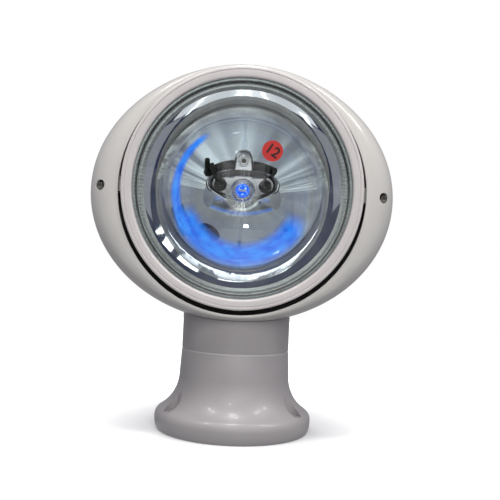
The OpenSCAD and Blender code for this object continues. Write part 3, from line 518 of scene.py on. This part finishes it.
# Head shell
def girth_r(a):
    return 1 / sqrt((cos(a) / HALF_W) ** 2 + (sin(a) / HALF_H) ** 2)


def seam_r(a):
    return girth_r(a) - SEAM_ROUND


def shell_ring(y, radius_at):
    ring = []
    for i in range(SHELL_SIDES):
        a = 2 * pi * i / SHELL_SIDES
        r = radius_at(a)
        ring.append((HEAD.x + r * cos(a), HEAD.y + y, HEAD.z + r * sin(a)))
    return ring


def front_y(t):
    return GIRTH_Y - FRONT_DEPTH * cos(t)


def front_r(a, t):
    return LIP_R + (girth_r(a) - LIP_R) * sin(t)


def front_inner_r(a, t):
    return max(front_r(a, t) - WALL, sqrt(SWEEP_R ** 2 - front_y(t) ** 2))


def screw_tools(radius, start_y, length):
    return [cylinder_tool(radius, (HEAD.x + s * SHELL_SCREW_X, HEAD.y + start_y, HEAD.z), (0, 1, 0), length)
            for s in (-1, 1)]


def neck_hole_tool():
    return cylinder_tool(NECK_HOLE_R, UP * NECK_HOLE_START, UP, NECK_HOLE_CUT, 128)


def shell_piece(name, mesh, tools, node):
    """Cuts a shell, which has its own material inside, and makes its piece."""
    mesh.materials.append(None)
    mesh.materials.append(None)
    mesh = carve(mesh, tools)
    soften(mesh)
    piece(name, mesh, "turret", "white_shell", node, materials=("white_shell", "shell_inside"))


def front_shell():
    steps, lip_steps = 28, 4
    turns = [pi / 2 * i / steps for i in range(steps + 1)]
    outer = []
    lip_round = LAND / 2
    for k in range(lip_steps + 1):
        a = pi / 2 * k / lip_steps
        outer.append(shell_ring(OPENING_Y + lip_round * (1 - sin(a)),
                                lambda _, a=a: OPENING_R + lip_round - lip_round * cos(a)))
    outer += [shell_ring(front_y(t), lambda a, t=t: front_r(a, t)) for t in turns[2:-1]]
    outer += [shell_ring(GIRTH_Y - SEAM_ROUND, girth_r), shell_ring(GIRTH_Y, seam_r)]
    inner = [shell_ring(front_y(t), lambda a, t=t: front_inner_r(a, t)) for t in turns[::-1][:-2]]
    mesh = ring_mesh("head_front_shell", outer + inner, True, len(outer) - 1)
    tools = screw_tools(SHELL_RECESS_R, SHELL_RECESS_Y - SHELL_RECESS_CUT, SHELL_RECESS_CUT)
    tools += screw_tools(SHELL_SCREW_R, SHELL_SCREW_START, SHELL_SCREW_CUT)
    tools.append(neck_hole_tool())
    shell_piece("head_front_shell", mesh, tools, "front_shell")


def rear_shell():
    steps = 44
    last = radians(89.5)
    turns = [last * i / steps for i in range(steps + 1)]

    def bowl(depth, inset):
        return [shell_ring(GIRTH_Y + depth * sin(u), lambda a, u=u: (girth_r(a) - inset) * cos(u))
                for u in turns]

    outer = [shell_ring(GIRTH_Y, seam_r), shell_ring(GIRTH_Y + SEAM_ROUND, girth_r)]
    outer += bowl(REAR_DEPTH, 0)[1:]
    inner = bowl(REAR_DEPTH - WALL, WALL)[::-1]
    mesh = ring_mesh("head_rear_shell", inner + outer, False)
    inside = (len(inner) - 1) * SHELL_SIDES
    for polygon in mesh.polygons:
        polygon.material_index = 1 if polygon.index < inside else 0
    shell_piece("head_rear_shell", mesh, [neck_hole_tool()], "rear_shell")


# Pedestal: a rounded foot, a flare and the fixed part of the neck, with three bolt recesses
def pedestal_curves():
    flare_top = NECK_R + NECK_TAPER
    round_r = FOOT_R - FOOT_ROUND
    rise, run = FLARE_H - FOOT_EDGE_H, round_r - flare_top
    bend = (run * run + rise * rise - FOOT_ROUND * FOOT_ROUND) / (2 * (run + FOOT_ROUND))
    end = atan2(rise, bend - run)
    steps = 24
    foot = []
    for i in range(steps + 1):
        a = pi / 2 * i / steps
        foot.append((FOOT_R - FOOT_TUCK + FOOT_TUCK * sin(a), FOOT_EDGE_H * (1 - cos(a))))
    for i in range(1, steps + 1):
        a = end * i / steps
        foot.append((round_r + FOOT_ROUND * cos(a), FOOT_EDGE_H + FOOT_ROUND * sin(a)))
    flare = []
    for i in range(steps - 1, -1, -1):
        a = end * i / steps
        flare.append((flare_top + bend * (1 - cos(a)), FLARE_H - bend * sin(a)))
    return foot, flare


def bolt_tools(radius, low, high):
    spots = [(BOLT_PCR * cos(radians(a)), BOLT_PCR * sin(radians(a)), low) for a in BOLT_ANGLES]
    return [cylinder_tool(radius, spot, UP, high - low) for spot in spots]


def pedestal():
    foot, flare = pedestal_curves()
    bite = SEAM_ROUND * EDGE_BITE
    top = [(NECK_R, JOINT_H - SEAM_ROUND), (NECK_R - bite, JOINT_H - bite), (NECK_R - SEAM_ROUND, JOINT_H)]
    body = turned("pedestal_body", foot + flare + top + [(BUSH_R, JOINT_H), (BUSH_R, 0)], sides=256)
    inside = [(min(CAVITY_R, r - NECK_WALL), h) for r, h in flare if h < WEB_H - MM]
    cavity = turned("cavity", [(BUSH_R - MM, -MM), (CAVITY_R, -MM), (CAVITY_R, FOOT_EDGE_H)] + inside
                    + [(CHAMBER_R, WEB_H), (BUSH_R - MM, WEB_H)], sides=128)
    cavity = link("cutter", carve(cavity, bolt_tools(BOLT_BOSS_R, BOLT_HOLE_START, FLARE_H)))
    tools = [cavity, cylinder_tool(CHAMBER_R, UP * WEB_TOP, UP, JOINT_H, 128)]
    tools += bolt_tools(BOLT_HOLE_R, BOLT_HOLE_START, FLARE_H)
    tools += bolt_tools(BOLT_RECESS_R, BOLT_FLOOR, 2 * FLARE_H)
    shaft_at = Vector(JOINTS["pan_pinion_spin"]["pos_m"])
    tools.append(cylinder_tool(SHAFT_HOLE_R, shaft_at + UP * SHAFT_HOLE_START, UP, SHAFT_HOLE_CUT))
    mesh = carve(body, tools)
    soften(mesh)
    shell = piece("pedestal_body", mesh, "base", "white_pedestal", "pedestal_base")
    rounding = shell.modifiers.new("soft_edges", "BEVEL")
    rounding.width = EDGE_ROUND
    rounding.segments = 3
    rounding.limit_method = "ANGLE"
    rounding.angle_limit = radians(35)


def head_under(x, y):
    """Height of the head's underside at a point of the neck. Ahead of the girth it is found by halving."""
    y -= HEAD.y
    if y >= GIRTH_Y:
        scale = cos(asin(min(1, (y - GIRTH_Y) / REAR_DEPTH)))
        return HEAD.z - HALF_H * scale * sqrt(1 - (x / (HALF_W * scale)) ** 2)
    swell = sin(acos(min(1, (GIRTH_Y - y) / FRONT_DEPTH)))
    low, high, halvings = 0, pi / 2, 40
    for _ in range(halvings):
        a = (low + high) / 2
        r = LIP_R + (girth_r(a) - LIP_R) * swell
        low, high = (a, high) if r * cos(a) > abs(x) else (low, a)
    return HEAD.z - r * sin(a)


def neck():
    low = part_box("turret_neck")[0].z
    floor_low = low + TURRET_FLOOR_RISE
    floor_top = floor_low + TURRET_FLOOR_T
    outer = NECK_R - TURRET_PLAY
    bite = SEAM_ROUND * EDGE_BITE
    sides = 192

    def level(r, z):
        return [(r * cos(2 * pi * i / sides), r * sin(2 * pi * i / sides), z) for i in range(sides)]

    def under_head(r):
        return [(x, y, head_under(x, y) - HEAD_GAP) for x, y, _ in level(r, 0)]

    rings = [level(CHAMBER_R, low), level(outer - SEAM_ROUND, low), level(outer - bite, low + bite),
             level(outer, low + SEAM_ROUND), under_head(outer), under_head(CHAMBER_R),
             level(CHAMBER_R, floor_top), level(SPINDLE_HOLE_R, floor_top), level(SPINDLE_HOLE_R, floor_low),
             level(CHAMBER_R, floor_low)]
    mesh = ring_mesh("neck_turret", rings, True)
    soften(mesh)
    piece("neck_turret", mesh, "turret", "white_pedestal", "turret_neck")


def shell_screws():
    """Button-head screws with a hexagon socket."""
    head_r, head_h, edge_h, shank_r, length = 3.8 * MM, 2.2 * MM, 0.5 * MM, 2 * MM, 36 * MM
    socket_r, socket_start, socket_cut = 1.5 * MM, 4 * MM, 3.2 * MM
    steps = 10
    end = SHELL_RECESS_Y + length
    tip = SHELL_RECESS_Y - edge_h - (head_h - edge_h) * sin(pi / 2 * (steps - 1) / steps)
    profile = [(shank_r, end), (shank_r, SHELL_RECESS_Y), (head_r, SHELL_RECESS_Y)]
    for k in range(steps - 1):
        a = pi / 2 * k / steps
        profile.append((head_r * cos(a), SHELL_RECESS_Y - edge_h - (head_h - edge_h) * sin(a)))
    profile += [(AXIS_R, tip), (AXIS_R, end)]
    for side, name in ((-1, "shell_screw_right"), (1, "shell_screw_left")):
        centre = HEAD + Vector((side * SHELL_SCREW_X, 0, 0))
        mesh = turned(name, profile, centre, False, 48)
        start = centre + Vector((0, SHELL_RECESS_Y - socket_start, 0))
        mesh = carve(mesh, [cylinder_tool(socket_r, start, (0, 1, 0), socket_cut, 6)])
        soften(mesh)
        piece(name, mesh, "turret", "steel", "shell_screws", materials=("dark_steel",))


def bezel():
    y, r, inner = BEZEL_Y, BEZEL_R, WINDOW_R
    groove_in, cut, floor = 3.1 * MM, 0.5 * MM, 0.15 * MM
    inner_round, cut_round, outer_round = 1.6 * MM, 0.2 * MM, 1.8 * MM
    back_round, skirt_round = 0.4 * MM, 0.3 * MM
    groove = r - groove_in
    skirt = r - BEZEL_WALL
    outline = rounded([
        (inner, y + BEZEL_LIP, 0), (inner, y, inner_round),
        (groove - cut, y, cut_round), (groove - floor, y + cut, 0),
        (groove + floor, y + cut, 0), (groove + cut, y, cut_round),
        (r, y, outer_round), (r, BEZEL_BACK, back_round),
        (skirt, BEZEL_BACK, skirt_round), (skirt, y + BEZEL_LIP, 0)])
    mesh = lamp_turned("bezel_ring", outline, 256)
    soften(mesh, 40)
    piece("bezel_ring", mesh, "lamp", "bezel_white", "bezel")


def lens_face(r):
    """Place of the lens's front along the beam, at a radius."""
    return LENS_Y - LENS_BULGE * (1 - (r / WINDOW_R) ** 2)


def lens():
    steps = 24
    radii = [max(AXIS_R, WINDOW_R * i / steps) for i in range(steps + 1)]
    front = [(r, lens_face(r)) for r in radii]
    mesh = lamp_turned("lens_disc", front + [(STACK_R, LENS_Y), (STACK_R, LENS_BACK), (AXIS_R, LENS_BACK)])
    soften(mesh)
    piece("lens_disc", mesh, "lamp", "lens_glass", "lens")


# Reflector: a smooth mirror bowl, and a flange with three ridges and fine radial teeth
def reflector():
    steps = 60
    radii = [MIRROR_HOLE_R + (MIRROR_R - MIRROR_HOLE_R) * i / steps for i in range(steps + 1)]
    front = [(r, VERTEX_Y - r * r / (4 * FOCAL)) for r in radii]
    back = [(r, h + MIRROR_WALL) for r, h in front[::-1]]
    mesh = lamp_turned("reflector_bowl", front + back, 256)
    soften(mesh, 40)
    piece("reflector_bowl", mesh, "lamp", "mirror", "reflector")


def reflector_flange():
    sides, steps, ridges = 720, 30, 3
    ridge_h, tooth_h, skin = 0.25 * MM, 0.06 * MM, 0.2 * MM
    turns = [2 * pi * i / sides for i in range(sides)]
    rings = []
    for k in range(steps + 1):
        r = MIRROR_R + (STACK_R - MIRROR_R) * k / steps
        wave = ridge_h * (1 - cos(2 * pi * ridges * k / steps))
        ring = []
        for i, a in enumerate(turns):
            dip = min(wave + (tooth_h if i % 4 < 2 else 0), MIRROR_WALL - skin) * (0 < k < steps)
            ring.append(PIVOT + Vector((r * cos(a), MIRROR_Y + dip, r * sin(a))))
        rings.append(ring)
    for r in (STACK_R, MIRROR_R):
        rings.append([PIVOT + Vector((r * cos(a), MIRROR_Y + MIRROR_WALL, r * sin(a))) for a in turns])
    mesh = ring_mesh("reflector_flange", rings, True)
    mesh.transform(LAMP_TURN)
    soften(mesh, 40)
    piece("reflector_flange", mesh, "lamp", "mirror", "reflector", materials=("flange_metal",))


def capsule(name, r, centre):
    """A dome on a cylinder that ends at the bulb's base."""
    steps = 20
    quarter = [pi / 2 * i / steps for i in range(steps + 1)]
    dome = [(max(AXIS_R, r * sin(a)), centre - r * cos(a)) for a in quarter]
    mesh = lamp_turned(name, dome + [(r, BULB_BASE_Y), (AXIS_R, BULB_BASE_Y)], 64)
    soften(mesh)
    return mesh


def bulb():
    """A clear envelope over a blue inner bulb."""
    mesh = capsule("bulb_envelope", BULB_R, BULB_TIP_Y + BULB_R)
    piece("bulb_envelope", mesh, "lamp", "bulb_blue_glass", "bulb_glass")
    mesh = capsule("bulb_blue_core", CORE_R, CORE_Y)
    piece("bulb_blue_core", mesh, "lamp", "bulb_blue_glass", materials=("blue_core",))


def blue_coat(name, first, last):
    """A thin closed strip of coat inside the bulb that covers less towards its edges; the coat glows as painted
    light.
    """
    steps, rows, end_gain, falloff = 48, 8, 3, 1.5
    verts, cover = [], []
    for radius in (COAT_R, COAT_R - COAT_WALL):
        for i in range(steps + 1):
            angle, low, high = [p + (q - p) * i / steps for p, q in zip(first, last)]
            side = Vector((cos(radians(angle)), 0, sin(radians(angle)))) * radius
            for k in range(rows + 1):
                ahead = (low + (high - low) * k / rows) * MM
                verts.append(PIVOT + side + Vector((0, VERTEX_Y - ahead, 0)))
                cover.append((sin(pi * k / rows) * min(1, end_gain * sin(pi * i / steps))) ** falloff)
    row = rows + 1
    layer = row * (steps + 1)
    outer = [(i * row + k, (i + 1) * row + k, (i + 1) * row + k + 1, i * row + k + 1)
             for i in range(steps) for k in range(rows)]
    inner = [tuple(v + layer for v in face[::-1]) for face in outer]
    edge = ([i * row for i in range(steps)] + [steps * row + k for k in range(rows)]
            + [i * row + rows for i in range(steps, 0, -1)] + list(range(rows, 0, -1)))
    rim = [(v, v + layer, w + layer, w) for v, w in zip(edge, edge[1:] + edge[:1])]
    mesh = bpy.data.meshes.new(name)
    mesh.from_pydata(verts, [], outer + inner + rim)
    mesh.attributes.new("cover", "FLOAT", "POINT").data.foreach_set("value", cover)
    mesh.transform(LAMP_TURN)
    soften(mesh, 60)
    piece(name, mesh, "lamp", "bulb_blue_glass", materials=("blue_coat",))


def tape_bar(name, path, radius):
    """A round bar of tape along a smooth path in front of the bulb's plate."""
    curve = bpy.data.curves.new(name, "CURVE")
    curve.dimensions = "3D"
    curve.bevel_depth = radius
    curve.bevel_resolution = 4
    curve.use_fill_caps = True
    line = curve.splines.new("NURBS")
    line.points.add(len(path) - 1)
    for point, (x, z) in zip(line.points, path):
        spot = PIVOT + Vector((x * MM, PLATE_Y - TAPE_AHEAD, z * MM))
        point.co = (*(LAMP_TURN @ spot), 1)
    line.order_u = 3
    line.use_endpoint_u = True
    piece(name, curve, "lamp", "lead_sleeve")


def torus(name, centre, major, minor, slot):
    steps = 16
    turns = [2 * pi * k / steps for k in range(steps)]
    profile = [(major + minor * cos(a), minor * sin(a)) for a in turns]
    mesh = turned(name, profile, PIVOT + centre, False, 48)
    mesh.transform(LAMP_TURN)
    soften(mesh, 60)
    piece(name, mesh, "lamp", slot)


def bulb_holder():
    """Eyelets, pads and a collar on the bulb's plate, and black tape round the leads."""
    eyelet_r, eyelet_bar, pad_r, pad_bar = 4.4 * MM, 1.1 * MM, 3.6 * MM, 2.4 * MM
    collar_r, collar_bar = 10.2 * MM, 1.0 * MM
    pad_share, pad_ahead, pad_down = 0.97, 0.3 * MM, 1.2 * MM
    front = PLATE_Y - 0.6 * MM
    for (x, z), name in zip(EARS, ("eyelet_left", "eyelet_top", "eyelet_right")):
        torus(name, Vector((x, front, z)), eyelet_r, eyelet_bar, "bulb_metal")
    for (x, z), name in zip(EARS[::2], ("ear_pad_left", "ear_pad_right")):
        torus(name, Vector((x * pad_share, front - pad_ahead, z - pad_down)), pad_r, pad_bar, "lead_sleeve")
    torus("bulb_collar", Vector((0, front, 0)), collar_r, collar_bar, "steel")
    tape_bar("lead_tape", TAPE_PATH, TAPE_R)
    tape_bar("lead_stub", STUB_PATH, STUB_R)


def sticker_digits():
    """Plain digits printed on the red sticker."""
    curve = bpy.data.curves.new("sticker_digits", "FONT")
    curve.body = "12"
    curve.size = DIGITS_SIZE
    curve.align_x = "CENTER"
    curve.align_y = "CENTER"
    curve.extrude = 0.02 * MM
    curve.offset = 0.22 * MM
    digits = link("sticker_digits", curve)
    across, up = STICKER_OUT * cos(STICKER_ANGLE), STICKER_OUT * sin(STICKER_ANGLE)
    centre = PIVOT + Vector((across, lens_face(STICKER_OUT) - STICKER_FACE, up))
    digits.matrix_world = (LAMP_TURN @ Matrix.Translation(centre) @ Matrix.Rotation(radians(90), 4, "X")
                           @ Matrix.Rotation(DIGITS_TURN, 4, "Z"))
    dress(digits, "print_black")
    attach(digits, "lamp")


def finish_nodes():
    """Materials of the nodes that show as they are."""
    for part in frame["record"]["subparts"]:
        name = part["node"]
        dress(NODES[name], OWN_FINISH.get(name, part["material_slot"]))


# Stage: a pale floor that runs out into white
def floor_material():
    material = textured("pale_floor", (0.86, 0.86, 0.86), 0.6, 0.005, 3, 0.01, 60)
    nodes, links, shader = node_links(material)
    place = nodes.new("ShaderNodeTexCoord")
    away = nodes.new("ShaderNodeVectorMath")
    away.operation = "LENGTH"
    links.new(place.outputs["Object"], away.inputs[0])
    fade = nodes.new("ShaderNodeMapRange")
    fade.interpolation_type = "SMOOTHSTEP"
    fade.inputs["From Min"].default_value = 0.05
    fade.inputs["From Max"].default_value = 0.20
    fade.inputs["To Max"].default_value = 0.75
    links.new(away.outputs["Value"], fade.inputs["Value"])
    shader.inputs["Emission Color"].default_value = (1, 1, 1, 1)
    links.new(fade.outputs["Result"], shader.inputs["Emission Strength"])
    return material


# Stage cards in front of the lamp, as outlines across and up in mm, that the mirror's rim shows
FLAG_Y = -1.0
CARD_Y = -0.985
STREAK_Y = -0.98
CARD_WHITE = (0.8, 0.8, 0.8)
FLAG = (((-150, 0), (150, 0), (150, 240), (-150, 240)),)
RIM_GLOW = (
    ((4, 86), (1, 86), (8, 62), (12, 63)),
    ((3, 94), (1, 94), (-5, 58), (3, 61)),
    ((1, 88), (-2, 83), (-25, 53), (-14, 54)),
    ((-10, 75), (-15, 74), (-38, 54), (-30, 53)),
    ((-17, 74), (-20, 74), (-45, 57), (-42, 56)),
)
UPPER_GLOW = (((-60, 136), (60, 136), (60, 190), (-60, 190)),)
UPPER_STREAKS = (
    ((-41, 130), (-36, 130), (-38, 190), (-44, 190)),
    ((-8, 136), (-3, 136), (-3, 190), (-8, 190)),
    ((0, 136), (4, 136), (4, 190), (0, 190)),
    ((11, 136), (15, 136), (17, 190), (13, 190)),
    ((38, 128), (46, 128), (52, 150), (44, 150)),
)
SIDE_GLOW = (
    ((-95, 64), (-44, 64), (-44, 134), (-95, 134)),
    ((42, 74), (95, 74), (95, 134), (42, 134)),
)


def flat_cards(name, y, outlines, colour, glow):
    """Flat stage cards that face the lamp and stay out of the camera's sight."""
    corners = 4
    mesh = bpy.data.meshes.new(name)
    verts = [(x * MM, y, z * MM) for outline in outlines for x, z in outline]
    mesh.from_pydata(verts, [], [tuple(range(k, k + corners)) for k in range(0, len(verts), corners)])
    obj = link(name, mesh)
    obj.visible_camera = False
    material = textured(name, colour, 0.8, 0.02, 3, 0.01, 60)
    shader = node_links(material)[2]
    shader.inputs["Emission Color"].default_value = (1, 1, 1, 1)
    shader.inputs["Emission Strength"].default_value = glow
    obj.data.materials.append(material)


GROUND_REACH = 3.0
FLOOR_BACK = 1.6
MIRROR_FLOOR_Z = -0.002


def ground(name, back, z):
    """A level sheet that reaches far to the front and the sides, and ends behind at the given place."""
    mesh = bpy.data.meshes.new(name)
    mesh.from_pydata([(-GROUND_REACH, -GROUND_REACH, z), (GROUND_REACH, -GROUND_REACH, z),
                      (GROUND_REACH, back, z), (-GROUND_REACH, back, z)], [], [(0, 1, 2, 3)])
    return link(name, mesh)


def streaked_floor():
    """What the mirror shows of the floor: a grey sheet with pale streaks that run away from the lamp."""
    sheet = ground("mirror_floor", 0, MIRROR_FLOOR_Z)
    sheet.visible_camera = sheet.visible_diffuse = sheet.visible_shadow = False
    material = textured("mirror_floor", (0.3, 0.3, 0.3), 0.8, 0.02, 3, 0.01, 60)
    nodes, links, shader = node_links(material)
    place = nodes.new("ShaderNodeTexCoord")
    along = nodes.new("ShaderNodeMapping")
    along.inputs["Scale"].default_value = (7, 0.8, 1)
    links.new(place.outputs["Object"], along.inputs["Vector"])
    streak = nodes.new("ShaderNodeTexNoise")
    streak.inputs["Scale"].default_value = 1
    streak.inputs["Detail"].default_value = 1.5
    links.new(along.outputs["Vector"], streak.inputs["Vector"])
    level = nodes.new("ShaderNodeMapRange")
    level.inputs["From Min"].default_value = 0.42
    level.inputs["From Max"].default_value = 0.64
    level.inputs["To Min"].default_value = 0.26
    level.inputs["To Max"].default_value = 1.0
    links.new(streak.outputs["Fac"], level.inputs["Value"])
    shader.inputs["Emission Color"].default_value = (0.95, 1, 0.97, 1)
    links.new(level.outputs["Result"], shader.inputs["Emission Strength"])
    sheet.data.materials.append(material)


def studio():
    """The floor, the cards, and a world that is white to the camera and grey to all else."""
    floor = ground("floor", FLOOR_BACK, 0)
    floor.data.materials.append(floor_material())
    floor.visible_diffuse = False
    floor.visible_glossy = False
    flat_cards("front_flag", FLAG_Y, FLAG, (0.012, 0.012, 0.013), 0)
    flat_cards("rim_glow", CARD_Y, RIM_GLOW, CARD_WHITE, 3)
    flat_cards("upper_glow", CARD_Y, UPPER_GLOW, CARD_WHITE, 0.35)
    flat_cards("upper_streaks", STREAK_Y, UPPER_STREAKS, CARD_WHITE, 1.4)
    flat_cards("side_glow", CARD_Y, SIDE_GLOW, (0.3, 0.3, 0.3), 0.12)
    world = bpy.data.worlds.new("studio")
    SCENE.world = world
    world.use_nodes = True
    nodes, links = world.node_tree.nodes, world.node_tree.links
    seen = nodes.new("ShaderNodeLightPath")
    level = nodes.new("ShaderNodeMix")
    level.data_type = "RGBA"
    level.inputs["A"].default_value = (0.29, 0.29, 0.31, 1)
    level.inputs["B"].default_value = (1, 1, 1, 1)
    links.new(seen.outputs["Is Camera Ray"], level.inputs["Factor"])
    links.new(level.outputs["Result"], nodes["Background"].inputs["Color"])


def area_light(name, place, target, size, power, turn=0):
    data = bpy.data.lights.new(name, "AREA")
    data.shape = "RECTANGLE"
    data.size, data.size_y = size
    data.energy = power
    lamp = link(name, data)
    lamp.location = place
    lamp.rotation_euler = (Vector(target) - Vector(place)).to_track_quat("-Z", "Y").to_euler()
    lamp.rotation_euler.rotate_axis("Z", radians(turn))
    lamp.visible_camera = False
    return lamp


CEILING = 1.70
FILL_AIM = (0, 0, 0.2)
FILL_SIZE = (1.2, 1.0)


def ceiling_light(name, x, y, size, power, turn):
    area_light(name, (x, y, CEILING), (x, y, 0), size, power, turn)


def lights():
    """Ceiling panels that the mirror's lower rim shows, two soft fills without reflections, and a glint."""
    area_light("ceiling_front", (0.02, -0.36, CEILING), (0, -0.36, 0), (0.42, 0.26), 9)
    ceiling_light("ceiling_right", -0.81, -0.50, (0.50, 0.16), 7, 30)
    ceiling_light("ceiling_left", 1.02, -0.43, (0.50, 0.18), 7, -20)
    ceiling_light("ceiling_far", 1.60, -0.42, (0.40, 0.25), 7, -14)
    area_light("front_fill", (0.3, -1.7, 0.9), FILL_AIM, FILL_SIZE, 18).visible_glossy = False
    area_light("back_fill", (-0.7, 1.8, 1.1), FILL_AIM, FILL_SIZE, 14).visible_glossy = False
    area_light("sparkle_high", (-0.1, -0.8, 0.85), FILL_AIM, (0.07, 0.05), 1.2)


# Camera at the photograph's place
CAMERA_AT = Vector((0, -603.5, 137)) * MM
FOCAL_PX = 642
PITCH = radians(2.67)
YAW = radians(0.91)
ROLL = radians(2.6)


def camera():
    data = bpy.data.cameras.new("camera")
    data.sensor_width = 36
    data.lens = data.sensor_width * FOCAL_PX / IMAGE
    data.clip_start = 0.01
    obj = link("camera", data)
    forward = Vector((sin(YAW) * cos(PITCH), cos(YAW) * cos(PITCH), sin(PITCH)))
    turn = forward.to_track_quat("-Z", "Y").to_matrix().to_4x4()
    obj.matrix_world = Matrix.Translation(CAMERA_AT) @ turn @ Matrix.Rotation(ROLL, 4, "Z")
    SCENE.camera = obj


finish_nodes()
camera()
pedestal()
neck()
front_shell()
rear_shell()
shell_screws()
bezel()
lens()
reflector()
reflector_flange()
bulb()
blue_coat("bulb_blue_band", *BAND_ENDS)
blue_coat("bulb_blue_streak", *STREAK_ENDS)
bulb_holder()
sticker_digits()
studio()
streaked_floor()
lights()
SCENE.view_settings.view_transform = "Standard"
